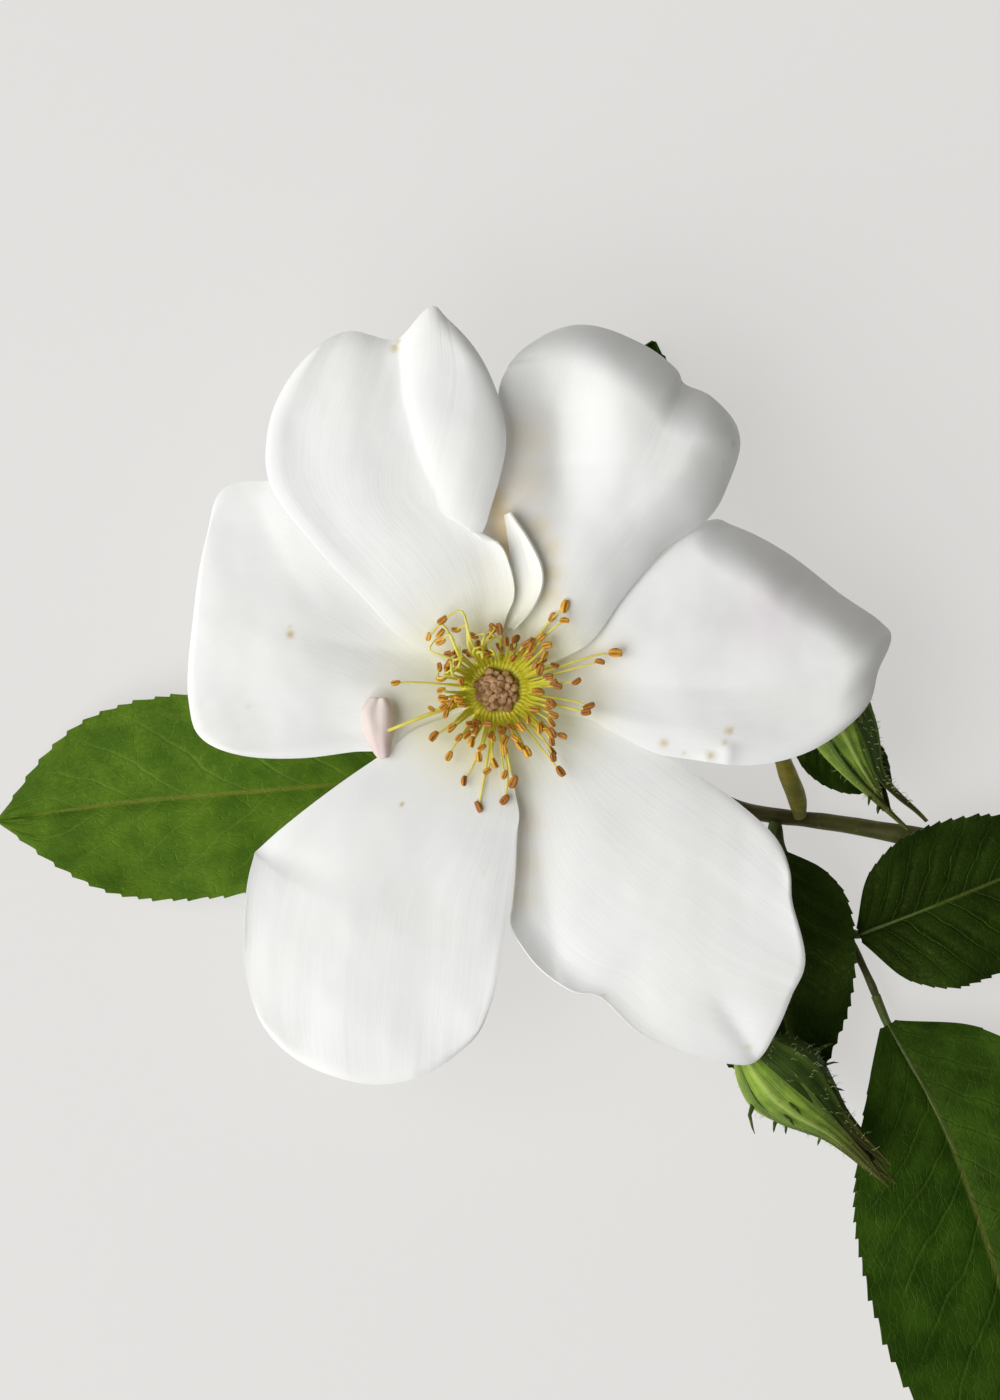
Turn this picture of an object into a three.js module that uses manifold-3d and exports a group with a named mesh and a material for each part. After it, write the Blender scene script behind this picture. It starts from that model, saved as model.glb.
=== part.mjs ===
// A white shrub rose, cut and laid on a surface with its flower facing up: one open flower with
// six petals, two closed buds, four simple leaves and a compound leaf, all on one stem.
// Millimetres, +Z up, z = 0 is the surface.
import * as THREE from "three";
import { mergeVertices } from "three/addons/utils/BufferGeometryUtils.js";
import Module from "manifold-3d";

const wasm = await Module();
wasm.setup();

// Driving dimensions
const jointGap = 0.35; // clear space between two pieces that meet
const flowerRadius = 42; // reach of a middling petal from the flower's axis
const drawnRadius = 42; // flower radius that the petal outlines below are drawn for
const seatRadius = 4; // circle on which the petals stand
const clawSpan = 34; // degrees of that circle that one petal takes
const petalThickness = 0.4;
const hipFootHeight = 8; // the hip stands upright over this height
const hipHeight = 9.2;
const hipRadius = 3.5;
const flowerStalkRadius = 1.15;
const stemRadius = 1.35;
const stemTail = 48; // bare stem between the last leaf and the cut
const tailStart = 60; // where that tail begins, along X
const cutSlant = 0.8; // how far the cut leans, as a share of the stem's radius
const leafThickness = 0.4;
const petioleRadius = 0.6;
const stalkUnderBlade = 0.12; // share of the blade that the leaf's stalk runs on under
const sepalThickness = 0.4;
const flowerSepalLength = 16;
const flowerSepalHalfWidth = 2.7;
const sepalCount = 5;
const pistilRadius = 2.3;
const pistilHeight = 3.2;
const stigmaRadius = 0.55;
const stigmaCount = 12;
const discHeight = 0.7; // the ring that the stamens stand on
const filamentRadius = 0.2;
const filamentCount = 26;
const filamentReach = 6.5; // how much farther out the lowest anther is than the highest
const filamentDrop = 2.2; // and how much lower
const antherHeight = 7.4; // of the highest anther above the ring's floor
const goldenAngle = 137.5; // turn from one filament or stigma to the next
const budStalkRadius = 0.7;
const budLength = 15.5; // of the closed body, from the hip to where the petals end
const budHipLength = 4.6;
const budHipRadius = 2.3;
const drawnBudRadius = 4; // bud radius that the sepals' half-widths below are drawn for

const petalScale = flowerRadius / drawnRadius;
const hipTop = hipFootHeight + hipHeight;
const petalSeat = hipTop + jointGap + petalThickness / 2;

// Outlines run anticlockwise as [degrees, reach past the seat circle, rise above the seat].
// corners are the outline's points, counted from the claw, where the sides end and the top edge begins.
// lift stacks the petals: where two cross, the one with the greater lift and rise is on top.
const petals = {
  left: {
    claw: 178,
    lift: 0,
    corners: [7, 11],
    rim: [
      [160, 1, 0.2], [140, 8, 0.6], [135, 21, 1.1], [136, 31, 1.5], [138.5, 34, 1.5],
      [144, 37, 1.4], [152.5, 35.5, 1.1], [167, 33.6, 0.8], [182, 33.2, 0.8], [189, 32.2, 0.9],
      [194, 28, 1], [199, 21, 1], [202, 15, 0.9], [207, 9.5, 0.6], [200, 1, 0.2],
    ],
  },
  lower_left: {
    claw: 242,
    lift: 0.6,
    corners: [9, 15],
    rim: [
      [217, 1, 0.3], [211, 6, 0.9], [211, 11, 1.6], [211, 19, 2.4], [213.5, 29.8, 3], [215, 32, 3.3],
      [223.5, 38, 2.4], [228, 41.4, 2], [234.5, 45, 1.6], [240.5, 46.6, 1.6], [246.5, 46.6, 1.6],
      [253, 45.7, 1.7], [259, 43.3, 2], [263.5, 40.2, 2.3], [267, 37, 2.6], [269.6, 32, 2.8],
      [271.4, 26, 2.9], [273.7, 20, 2.9], [277, 14.2, 2.6], [280, 9.5, 2.1], [272, 2, 0.7],
    ],
  },
  lower_right: {
    claw: 303,
    lift: 0,
    corners: [13, 18],
    rim: [
      [284, 1, 0.2], [280, 8, 0.7], [277, 15.4, 1.1], [274.4, 21.4, 1.3], [273.4, 24.4, 1.3],
      [276, 27.5, 1.2], [279, 30.2, 1], [284, 33.4, 0.9], [288.7, 35.2, 0.8], [292.4, 40.7, 0.8],
      [296, 44, 0.8], [302, 49.2, 0.8], [305, 50.6, 0.8], [309, 49.2, 0.8], [314, 47, 0.8],
      [318.7, 45.2, 0.8], [324, 39.8, 0.8], [328.3, 37.2, 0.8], [332, 33.9, 0.8], [334.7, 28.5, 0.8],
      [336.2, 21.5, 0.6], [339, 14.5, 0.5], [342, 8, 0.3], [322, 1, 0.1],
    ],
  },
  right: {
    claw: 363,
    lift: 0.6,
    corners: [9, 16],
    rim: [
      [340, 2, 0.5], [342, 7, 1.1], [340.3, 10.3, 1.5], [338.3, 16, 2.1], [340.5, 21, 2.5],
      [343.3, 27.4, 2.9], [348, 33.3, 3.1], [353.4, 37.8, 3.3], [358.2, 40.8, 3.4],
      [363, 42, 3.4], [367.5, 44, 3.4], [370, 43.2, 3.4], [376, 39, 3.4], [385.5, 34.8, 3.3],
      [394.5, 31, 3], [398.5, 29, 2.6], [402, 22, 2], [400, 13, 1.4], [391, 6, 0.7], [379, 1, 0.3],
    ],
  },
  upper_right: {
    claw: 416,
    lift: 1.2,
    corners: [8, 14],
    rim: [
      [400, 1, 0.6], [386, 6, 1.7], [388, 9, 2.2], [396, 14.3, 3], [400, 21.6, 4.2], [399.2, 28.6, 5.3],
      [402, 33.5, 6.2], [406.5, 38.4, 6.7], [413.5, 39.7, 6.8], [418.5, 39.2, 6.7], [421, 40.2, 6.8],
      [427.6, 41.1, 6.8], [437, 41, 6.8], [444.3, 37.8, 6.2], [448, 33.3, 5.4], [448, 27, 4.5],
      [449, 21, 3.6], [448, 14, 2.5], [440, 4.6, 1], [433, 1, 0.4],
    ],
  },
  upper_left: {
    claw: 478,
    lift: 1.9,
    corners: [8, 13],
    rim: [
      [459, 1, 0.4], [443, 4.4, 1.2], [439.5, 7.4, 2], [444.6, 11.3, 3.2], [449.5, 14.2, 4.6],
      [449.2, 21.6, 6.4], [448.2, 27, 7.1], [452.3, 34.8, 8.2], [457.7, 40.5, 8.8], [460, 42.1, 8.9],
      [466, 39.4, 8], [472.4, 42.1, 8.2], [478, 41.9, 8.2], [485, 40.1, 7.3], [491.5, 37.2, 6.4],
      [498, 32.3, 5.2], [501.5, 24.5, 3.9], [505.6, 15.4, 2.4], [511, 9.4, 1.5], [512, 5, 0.9], [497, 1, 0.3],
    ],
  },
};

// Half-widths of a blade along its midrib, as shares of the widest one.
const ovateProfile = [0.07, 0.36, 0.61, 0.78, 0.9, 0.97, 1, 0.97, 0.83, 0.5, 0.03];
const roundedProfile = [0.1, 0.6, 0.84, 0.97, 1.01, 1, 0.93, 0.81, 0.63, 0.37, 0.03];
const lanceProfile = [0.5, 0.85, 1, 0.98, 0.87, 0.72, 0.56, 0.41, 0.28, 0.18, 0.1];

const colours = {
  petal: 0xf1f2ef,
  inner: 0xf2efdc,
  petaloid: 0xe6d3bd,
  stamen: 0xc48a26,
  pistil: 0x9a6a48,
  leaf: 0x2f5210,
  darkLeaf: 0x1c340a,
  stem: 0x5a5a22,
  stalk: 0x6f8a35,
  sepal: 0x5f8a2c,
  bud: 0xdfe6c8,
};

const rose = new THREE.Group();

function polar(degrees, reach, height) {
  const angle = THREE.MathUtils.degToRad(degrees);
  return new THREE.Vector3(reach * Math.cos(angle), reach * Math.sin(angle), height);
}

function smoothCurve(points) {
  return new THREE.CatmullRomCurve3(
    points.map((p) => new THREE.Vector3(...p)),
    false,
    "catmullrom",
    0.5,
  );
}

// A smooth curve through evenly spaced values, read at a share of its length.
function valueAt(values, share) {
  return new THREE.SplineCurve(values.map((value, i) => new THREE.Vector2(i, value))).getPoint(share).y;
}

function closedSolid(geometry) {
  geometry.deleteAttribute("normal");
  geometry.deleteAttribute("uv");
  return mergeVertices(geometry, 1e-4);
}

// A closed sheet of one thickness around a surface, given as pointAt(across, along) from 0 to 1.
function sheet(columns, rows, thickness, pointAt) {
  const geometry = new THREE.BoxGeometry(1, 1, 1, columns, rows, 1);
  const position = geometry.getAttribute("position");
  const step = 0.002;
  for (let i = 0; i < position.count; i += 1) {
    const across = position.getX(i) + 0.5;
    const along = position.getY(i) + 0.5;
    const [left, right] = [Math.max(across - step, 0), Math.min(across + step, 1)];
    const [behind, ahead] = [Math.max(along - step, 0), Math.min(along + step, 1)];
    const sideways = pointAt(right, along).sub(pointAt(left, along));
    const onwards = pointAt(across, ahead).sub(pointAt(across, behind));
    const normal = sideways.cross(onwards).normalize();
    const point = pointAt(across, along).addScaledVector(normal, position.getZ(i) * thickness);
    position.setXYZ(i, point.x, point.y, point.z);
  }
  return closedSolid(geometry);
}

// A closed round rod along a path, with the radius that radiusAt gives at a share of its length.
function rod(path, radiusAt, sides, steps) {
  const geometry = new THREE.CylinderGeometry(1, 1, 1, sides, steps);
  const position = geometry.getAttribute("position");
  const frames = path.computeFrenetFrames(steps);
  for (let i = 0; i < position.count; i += 1) {
    const ring = Math.round((position.getY(i) + 0.5) * steps);
    const radius = radiusAt(ring / steps);
    const point = path
      .getPointAt(ring / steps)
      .addScaledVector(frames.normals[ring], position.getX(i) * radius)
      .addScaledVector(frames.binormals[ring], -position.getZ(i) * radius);
    position.setXYZ(i, point.x, point.y, point.z);
  }
  return closedSolid(geometry);
}

function joined(geometries) {
  const solids = geometries.map(
    (geometry) =>
      new wasm.Manifold(
        new wasm.Mesh({
          numProp: 3,
          vertProperties: new Float32Array(geometry.getAttribute("position").array),
          triVerts: new Uint32Array(geometry.index.array),
        }),
      ),
  );
  const whole = solids.reduce((sum, solid) => sum.add(solid)).getMesh();
  const geometry = new THREE.BufferGeometry();
  geometry.setAttribute("position", new THREE.BufferAttribute(new Float32Array(whole.vertProperties), 3));
  geometry.setIndex(new THREE.BufferAttribute(new Uint32Array(whole.triVerts), 1));
  return geometry;
}

function addPiece(name, geometry, colour, roughness) {
  const material = new THREE.MeshStandardMaterial({ color: colour, roughness, metalness: 0 });
  const mesh = new THREE.Mesh(geometry, material);
  mesh.name = name;
  rose.add(mesh);
}

// Where a side piece starts: beside a branch, clear of its bark.
function beside(branch, share, degrees, rise, ownRadius) {
  const outward = polar(degrees, Math.cos(Math.asin(rise)), rise);
  const reach = branch.radiusAt(share) + jointGap + ownRadius * 1.6;
  return branch.path.getPointAt(share).addScaledVector(outward, reach).toArray();
}

// ---- petals ----

// A petal is a four-sided patch: the arc of its claw, its two sides and the top edge between its corners.
function petalPatch(petal) {
  const clawEnds = [-0.5, 0.5].map((side) => [petal.claw + side * clawSpan, 0, 0]);
  const outline = smoothCurve([clawEnds[0], ...petal.rim, clawEnds[1]]);
  const [first, last] = petal.corners.map((corner) => corner / (petal.rim.length + 1));
  const edge = ({ x, y, z }) => polar(x, seatRadius + y * petalScale, petalSeat + petal.lift + z);
  const outlineAt = (share) => edge(outline.getPoint(share));
  const clawAt = (across) => edge({ x: petal.claw + (across - 0.5) * clawSpan, y: 0, z: 0 });
  return (across, along) => {
    const sides = outlineAt(first * along).lerp(outlineAt(1 - (1 - last) * along), across);
    const ends = clawAt(across).lerp(outlineAt(first + (last - first) * across), along);
    const cornersAtClaw = clawAt(0).lerp(clawAt(1), across);
    const cornersAtTop = outlineAt(first).lerp(outlineAt(last), across);
    return sides.add(ends).sub(cornersAtClaw.lerp(cornersAtTop, along));
  };
}

for (const [side, petal] of Object.entries(petals)) {
  addPiece(`petal_${side}`, sheet(11, 8, petalThickness, petalPatch(petal)), colours.petal, 0.6);
}

// ---- leaf blades on their stalks ----

function bladeSheet(midrib, halfWidth, profile, fold, thickness, columns, rows) {
  return sheet(columns, rows, thickness, (across, along) => {
    const heading = midrib.getTangent(along);
    const sideways = new THREE.Vector3(-heading.y, heading.x, 0).normalize();
    const reach = (2 * across - 1) * halfWidth * valueAt(profile, along);
    const point = midrib.getPoint(along).addScaledVector(sideways, reach);
    point.z += fold * Math.abs(reach);
    return point;
  });
}

// start is where the stalk begins, blade the points of the midrib from the blade's base to its tip.
function leaf({ start, blade, halfWidth, profile, fold }) {
  const midrib = smoothCurve(blade);
  const foot = midrib.getPoint(0);
  const stalk = smoothCurve([start, foot.toArray(), midrib.getPoint(stalkUnderBlade).toArray()]);
  return joined([
    bladeSheet(midrib, halfWidth, profile, fold, leafThickness, 6, 10),
    rod(stalk, (share) => petioleRadius * (1 - 0.4 * share), 6, 7),
  ]);
}

// ---- stem and flower stalk ----

const tailEnd = tailStart + stemTail;
const knots = [1.2, 1.1, 1.02, 1.12, 0.95, 1.15, 0.92, 1.05, 0.88]; // how the stem swells and thins along it
const stem = {
  path: smoothCurve([
    [tailEnd, -26.2, stemRadius * 1.2], [tailEnd - stemTail * 0.35, -24.6, stemRadius * 1.15],
    [75, -22.3, stemRadius * 1.1], [62, -19.9, stemRadius * 1.05], [50.5, -17.9, stemRadius],
    [41.3, -16.4, stemRadius], [31.4, -15, stemRadius], [24.5, -12, stemRadius], [19, -9, stemRadius + 0.2],
  ]),
  radiusAt: (share) => stemRadius * valueAt(knots, share),
};

function stemGeometry() {
  const cutFace = 0.5; // the end's vertices lie within this of the tail's end
  const geometry = rod(stem.path, stem.radiusAt, 10, 30);
  const position = geometry.getAttribute("position");
  for (let i = 0; i < position.count; i += 1) {
    const fromCut = tailEnd - position.getX(i);
    if (fromCut < cutFace) position.setX(i, position.getX(i) - cutSlant * (position.getZ(i) - stemRadius));
  }
  return geometry;
}

addPiece("stem", stemGeometry(), colours.stem, 0.7);

const stemEnd = stem.path.getPoint(1);
const onward = stem.path.getTangent(1);
const stalkStart = stemEnd.clone().addScaledVector(onward, jointGap);
const flowerStalk = {
  path: smoothCurve([
    stalkStart.toArray(),
    stalkStart.clone().addScaledVector(onward, 3).toArray(),
    [9, -3.9, 3.2], [3.6, -1.5, 5], [0.6, -0.2, hipFootHeight],
    [0, 0, hipFootHeight + hipHeight / 2], [0, 0, hipTop],
  ]),
};
const flowerStalkLength = flowerStalk.path.getLength();
const hipRimRadius = hipRadius * 1.12;
const hipShape = [
  flowerStalkRadius, hipRadius * 0.72, hipRadius, hipRadius * 1.02, hipRadius * 0.86, hipRimRadius,
];
flowerStalk.radiusAt = (share) => {
  const intoHip = 1 - ((1 - share) * flowerStalkLength) / hipHeight;
  return intoHip < 0 ? flowerStalkRadius : valueAt(hipShape, intoHip);
};
addPiece("flower_stalk", rod(flowerStalk.path, flowerStalk.radiusAt, 10, 28), colours.stalk, 0.5);

// ---- the flower's middle ----

const discInner = pistilRadius + jointGap;
const discOuter = seatRadius - jointGap;
const discFloor = hipTop + jointGap;

function filament(index) {
  const goldenShare = 0.618;
  const angle = index * goldenAngle;
  const spread = (index * goldenShare) % 1;
  const reach = discOuter + 2 + filamentReach * spread;
  const top = discFloor + antherHeight - filamentDrop * spread;
  const root = (discInner + discOuter) / 2;
  const path = smoothCurve([
    polar(angle, root, discFloor + discHeight / 2).toArray(),
    polar(angle + 4, root + (reach - root) * 0.2, discFloor + (top - discFloor) * 0.7).toArray(),
    polar(angle + 9, reach, top).toArray(),
  ]);
  const antherFrom = 0.84; // share of the filament at which its anther begins
  const antherRadius = filamentRadius * 2.6;
  const radiusAt = (share) => (share < antherFrom || share === 1 ? filamentRadius : antherRadius);
  return rod(path, radiusAt, 4, 6);
}

const disc = closedSolid(
  new THREE.LatheGeometry(
    [
      new THREE.Vector2(discInner, 0),
      new THREE.Vector2(discOuter, 0),
      new THREE.Vector2(discOuter, discHeight * 0.7),
      new THREE.Vector2((discInner + discOuter) / 2, discHeight),
      new THREE.Vector2(discInner, discHeight * 0.7),
      new THREE.Vector2(discInner, 0),
    ],
    24,
  ).rotateX(Math.PI / 2).translate(0, 0, discFloor),
);
const filaments = Array.from({ length: filamentCount }, (_, index) => filament(index));
addPiece("stamens", joined([disc, ...filaments]), colours.stamen, 0.6);

const stigmas = [];
for (let index = 0; index < stigmaCount; index += 1) {
  const reach = pistilRadius * 0.84 * Math.sqrt(index / stigmaCount);
  const top = discFloor + pistilHeight * (1 - 0.35 * (reach / pistilRadius) ** 2);
  const spot = polar(index * goldenAngle, reach, top);
  stigmas.push(closedSolid(new THREE.SphereGeometry(stigmaRadius, 5, 3).translate(spot.x, spot.y, spot.z)));
}
const column = closedSolid(
  new THREE.CylinderGeometry(pistilRadius * 0.9, pistilRadius * 0.8, pistilHeight, 14, 1)
    .rotateX(Math.PI / 2)
    .translate(0, 0, discFloor + pistilHeight / 2),
);
addPiece("pistil", joined([column, ...stigmas]), colours.pistil, 0.8);

// A narrow petal that stands between the two upper ones.
const innerPetal = smoothCurve([
  [1.7, 7.4, petalSeat + 3.1], [3.4, 10.8, petalSeat + 4.2], [4.1, 13.8, petalSeat + 5],
  [3.3, 17.4, petalSeat + 5.4], [1.9, 20.8, petalSeat + 5.6],
]);
const innerHalfWidth = 1.5;
const innerProfile = [0.3, 0.9, 1, 0.6, 0.16];
const innerSheet = bladeSheet(innerPetal, innerHalfWidth, innerProfile, 0.3, petalThickness, 4, 10);
addPiece("petal_inner", innerSheet, colours.inner, 0.6);

// One stamen that grew into a small curled petal.
const petaloidFoot = [-13.6, -8.2, petalSeat + 3];
const petaloidStalk = smoothCurve([
  [-4.9, -1.9, petalSeat + 2.6], [-8.4, -2.9, petalSeat + 4.2], [-12, -4.6, petalSeat + 4.1], petaloidFoot,
]);
const petaloidBlade = smoothCurve([
  petaloidFoot, [-14, -6.3, petalSeat + 3.5], [-14.3, -3.6, petalSeat + 3.9], [-14.2, -1, petalSeat + 3.7],
]);
const petaloidHalfWidth = 1.8;
const petaloidProfile = [0.3, 0.85, 1, 0.95, 0.3];
const petaloidStalkRadius = 0.28;
const petaloidGeometry = joined([
  rod(petaloidStalk, () => petaloidStalkRadius, 5, 8),
  bladeSheet(petaloidBlade, petaloidHalfWidth, petaloidProfile, 0.45, petalThickness, 4, 6),
]);
addPiece("petaloid", petaloidGeometry, colours.petaloid, 0.6);

// ---- sepals under the open flower ----

for (let index = 0; index < sepalCount; index += 1) {
  const angle = 20 + (index * 360) / sepalCount;
  const root = hipRimRadius + jointGap;
  const top = hipTop - sepalThickness - jointGap;
  const midrib = smoothCurve([
    polar(angle, root, top).toArray(),
    polar(angle, root + flowerSepalLength * 0.35, top - 0.6).toArray(),
    polar(angle + 3, root + flowerSepalLength * 0.7, top - 2.4).toArray(),
    polar(angle + 5, root + flowerSepalLength, top - 5.2).toArray(),
  ]);
  const blade = bladeSheet(midrib, flowerSepalHalfWidth, lanceProfile, -0.1, sepalThickness, 2, 6);
  addPiece(`flower_sepal_${index + 1}`, blade, colours.sepal, 0.7);
}

// ---- closed buds: hip on a stalk, a core of furled petals, five sepals round it ----

// The stalk leaves the stem at share, towards [degrees, rise], and route carries it to the foot of the hip.
const buds = {
  bud_1: {
    radius: 4,
    share: 0.765,
    towards: [100, 0.5],
    route: [[37.4, -12.2, 4.2], [36, -8.6, 6.4], [33.6, -1.5, 10.2], [33.6, 4.4, 13.4], [35.1, 7, 14.9]],
    base: [38.6, 1.5, 15.2],
    tip: [45.5, -12.4, 13.4],
    spin: 10,
  },
  bud_2: {
    radius: 4.3,
    share: 0.9,
    towards: [238, 0.4],
    route: [[21.6, -17, 4.4], [20.6, -23.5, 7.6], [21.4, -31, 10.4], [25.2, -37.6, 12]],
    base: [31.3, -43.6, 12.2],
    tip: [42.6, -53.6, 11],
    spin: 40,
  },
};
const bodyProfile = [0.5, 0.86, 1, 0.98, 0.84, 0.62, 0.4, 0.22, 0.12];
const coreShare = 0.86; // the furled petals' radius, as a share of the body's
const sepalOverrun = 1.32; // the sepals' tips reach this far, as a share of the body
const sepalSweep = [0.5, 0.78, 0.94, 0.82, 0.5, 0.27, 0.16, 0.13, 0.18];
const sepalHalfWidths = [1.5, 2.1, 2.4, 2, 1.3, 0.75, 0.5, 0.4, 0.3];

for (const [name, bud] of Object.entries(buds)) {
  const base = new THREE.Vector3(...bud.base);
  const heading = new THREE.Vector3(...bud.tip).sub(base).normalize();
  const right = new THREE.Vector3().crossVectors(heading, new THREE.Vector3(0, 0, 1)).normalize();
  const up = new THREE.Vector3().crossVectors(right, heading);

  const hipFoot = base.clone().addScaledVector(heading, -budHipLength);
  const start = beside(stem, bud.share, ...bud.towards, budStalkRadius);
  const stalkPath = smoothCurve([start, ...bud.route, hipFoot.toArray(), base.toArray()]);
  const stalkLength = stalkPath.getLength();
  const budHipShape = [
    budStalkRadius, budHipRadius * 0.7, budHipRadius, budHipRadius * 0.95, budHipRadius * 0.8,
  ];
  const stalkRadiusAt = (share) => {
    const intoHip = 1 - ((1 - share) * stalkLength) / budHipLength;
    return intoHip < 0 ? budStalkRadius : valueAt(budHipShape, intoHip);
  };
  bud.stalk = { path: stalkPath, radiusAt: stalkRadiusAt };
  addPiece(`${name}_stalk`, rod(stalkPath, stalkRadiusAt, 8, 26), colours.stalk, 0.5);

  const coreStart = base.clone().addScaledVector(heading, jointGap);
  const coreEnd = base.clone().addScaledVector(heading, budLength);
  const core = rod(
    new THREE.LineCurve3(coreStart, coreEnd),
    (share) => bud.radius * valueAt(bodyProfile, share) * coreShare,
    10,
    9,
  );
  addPiece(`${name}_core`, core, colours.bud, 0.6);

  for (let index = 0; index < sepalCount; index += 1) {
    const middle = THREE.MathUtils.degToRad(bud.spin + (index * 360) / sepalCount);
    const sepal = sheet(2, 8, sepalThickness, (across, along) => {
      const radius = bud.radius * valueAt(sepalSweep, along) + jointGap + sepalThickness;
      const room = radius * (Math.PI / sepalCount) - jointGap / 2 - sepalThickness * 0.2;
      const halfWidth = Math.min((bud.radius / drawnBudRadius) * valueAt(sepalHalfWidths, along), room);
      const angle = middle + ((2 * across - 1) * halfWidth) / radius;
      return base
        .clone()
        .addScaledVector(heading, jointGap + sepalThickness + along * budLength * sepalOverrun)
        .addScaledVector(right, radius * Math.cos(angle))
        .addScaledVector(up, radius * Math.sin(angle));
    });
    addPiece(`${name}_sepal_${index + 1}`, sepal, colours.sepal, 0.7);
  }
}

// ---- leaves ----

const leaves = {
  leaf_left: {
    start: beside(flowerStalk, 0.3, 236, 0.1, petioleRadius),
    blade: [[-1.5, -10.4, 3.6], [-14, -11.2, 4.6], [-30, -12.5, 4.4], [-47, -14, 2.6], [-62, -16.2, 0.5]],
    halfWidth: 12.7,
    profile: ovateProfile,
    fold: 0.1,
  },
  leaf_upper: {
    start: beside(flowerStalk, 0.22, 62, 0.2, petioleRadius),
    blade: [[9.8, 6.2, 4], [11.6, 15, 5], [14.2, 25, 4.6], [17, 34.5, 2.6], [19.5, 43.4, 0.5]],
    halfWidth: 7.4,
    profile: ovateProfile,
    fold: 0.12,
  },
  leaf_back: {
    start: beside(buds.bud_1.stalk, 0.3, 70, 0.1, petioleRadius),
    blade: [[36.9, -3.4, 8.4], [40.8, -6.5, 8.6], [44.8, -9.3, 8.2], [48.5, -11.3, 7]],
    halfWidth: 4.3,
    profile: ovateProfile,
    fold: 0.1,
  },
  leaf_lower: {
    start: beside(stem, 0.825, 272, 0.75, petioleRadius),
    blade: [[33.4, -19.4, 5.4], [33.6, -25.4, 6.6], [34.3, -33.4, 6.6], [36, -42.6, 5.2], [38.8, -50, 3.6]],
    halfWidth: 9.6,
    profile: ovateProfile,
    fold: 0.12,
  },
};
for (const [name, shape] of Object.entries(leaves)) addPiece(name, leaf(shape), colours.leaf, 0.5);

// The compound leaf on the right: a rachis that carries three leaflets.
const rachisRadius = 0.65;
const rachis = {
  path: smoothCurve([
    beside(stem, 0.785, 285, 0.25, rachisRadius), [39.8, -24.2, 2.9], [43.6, -30.6, 3],
    [46, -35.6, 3.1], [47.4, -39, 3.2],
  ]),
  radiusAt: (share) => rachisRadius * (1 - 0.3 * share),
};
addPiece("leaf_right_rachis", rod(rachis.path, rachis.radiusAt, 6, 16), colours.stalk, 0.6);

const rachisEnd = rachis.path.getPoint(1).addScaledVector(rachis.path.getTangent(1), jointGap);
const leaflets = {
  leaflet_right: {
    start: beside(rachis, 0.6, 22, 0.5, petioleRadius),
    blade: [[44.8, -30.2, 4.7], [53.6, -26.8, 5.2], [63.4, -22.8, 5.2], [73.6, -18.8, 4.8]],
    halfWidth: 10,
    profile: roundedProfile,
    fold: 0.08,
  },
  leaflet_left: {
    start: beside(rachis, 0.6, 215, -0.1, petioleRadius),
    blade: [[41.4, -31.6, 3.1], [36, -35.4, 3], [30, -39.6, 2], [24.6, -43.4, 0.6]],
    halfWidth: 5.6,
    profile: roundedProfile,
    fold: 0.06,
  },
  leaflet_terminal: {
    start: rachisEnd.toArray(),
    blade: [[48.4, -41.4, 3.6], [54.6, -52.7, 4.8], [59.4, -65, 5], [65.2, -82.6, 3.2], [70.8, -99.6, 0.5]],
    halfWidth: 16,
    profile: ovateProfile,
    fold: 0.08,
  },
};
for (const [name, shape] of Object.entries(leaflets)) addPiece(name, leaf(shape), colours.darkLeaf, 0.5);

// The origin is under the middle of the whole rose, on the surface that it lies on.
const bounds = new THREE.Box3().setFromObject(rose);
const middle = bounds.getCenter(new THREE.Vector3());
const part = new THREE.Group();
rose.position.set(-middle.x, -middle.y, -bounds.min.z);
part.add(rose);

export default part;
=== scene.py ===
import math
import random
from functools import lru_cache

import bpy
from mathutils import Matrix, Vector, noise


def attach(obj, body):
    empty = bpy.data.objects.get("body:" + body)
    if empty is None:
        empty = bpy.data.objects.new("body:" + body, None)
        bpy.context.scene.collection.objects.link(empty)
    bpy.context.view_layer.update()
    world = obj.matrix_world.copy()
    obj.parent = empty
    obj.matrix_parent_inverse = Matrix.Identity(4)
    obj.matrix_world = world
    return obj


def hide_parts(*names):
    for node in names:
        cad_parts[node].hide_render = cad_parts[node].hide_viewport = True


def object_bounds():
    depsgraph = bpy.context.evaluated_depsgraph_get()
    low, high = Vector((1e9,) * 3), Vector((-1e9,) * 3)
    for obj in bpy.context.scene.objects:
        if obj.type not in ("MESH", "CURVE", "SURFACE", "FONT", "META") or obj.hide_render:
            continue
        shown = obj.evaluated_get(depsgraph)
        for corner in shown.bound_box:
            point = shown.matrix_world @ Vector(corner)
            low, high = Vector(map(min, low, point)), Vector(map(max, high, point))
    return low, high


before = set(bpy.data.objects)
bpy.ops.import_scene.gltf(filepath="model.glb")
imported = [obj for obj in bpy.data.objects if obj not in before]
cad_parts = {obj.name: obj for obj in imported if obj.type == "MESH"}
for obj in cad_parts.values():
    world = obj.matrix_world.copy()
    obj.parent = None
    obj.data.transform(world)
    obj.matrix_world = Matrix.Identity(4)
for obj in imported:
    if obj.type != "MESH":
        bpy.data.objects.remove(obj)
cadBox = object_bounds()
millimetre = 0.001
goldenAngle = 137.5


# Places and curves


def findFlowerFoot():
    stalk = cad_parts["flower_stalk"].data
    spots = {tuple(round(c, 6) for c in vertex.co) for vertex in stalk.vertices}
    top = max(spot[2] for spot in spots)
    ring = [Vector(spot) for spot in spots if top - spot[2] < 1e-4]  # the stalk's flat end, under the flower
    middle = sum(ring, Vector()) / len(ring)
    return Vector((middle.x, middle.y, cadBox[0].z))


flowerFoot = findFlowerFoot()


def place(x, y, z):
    return flowerFoot + Vector((x, y, z)) * millimetre


def polar(degrees, reach, height=0.0):
    angle = math.radians(degrees)
    return Vector((reach * math.cos(angle), reach * math.sin(angle), height))


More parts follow.
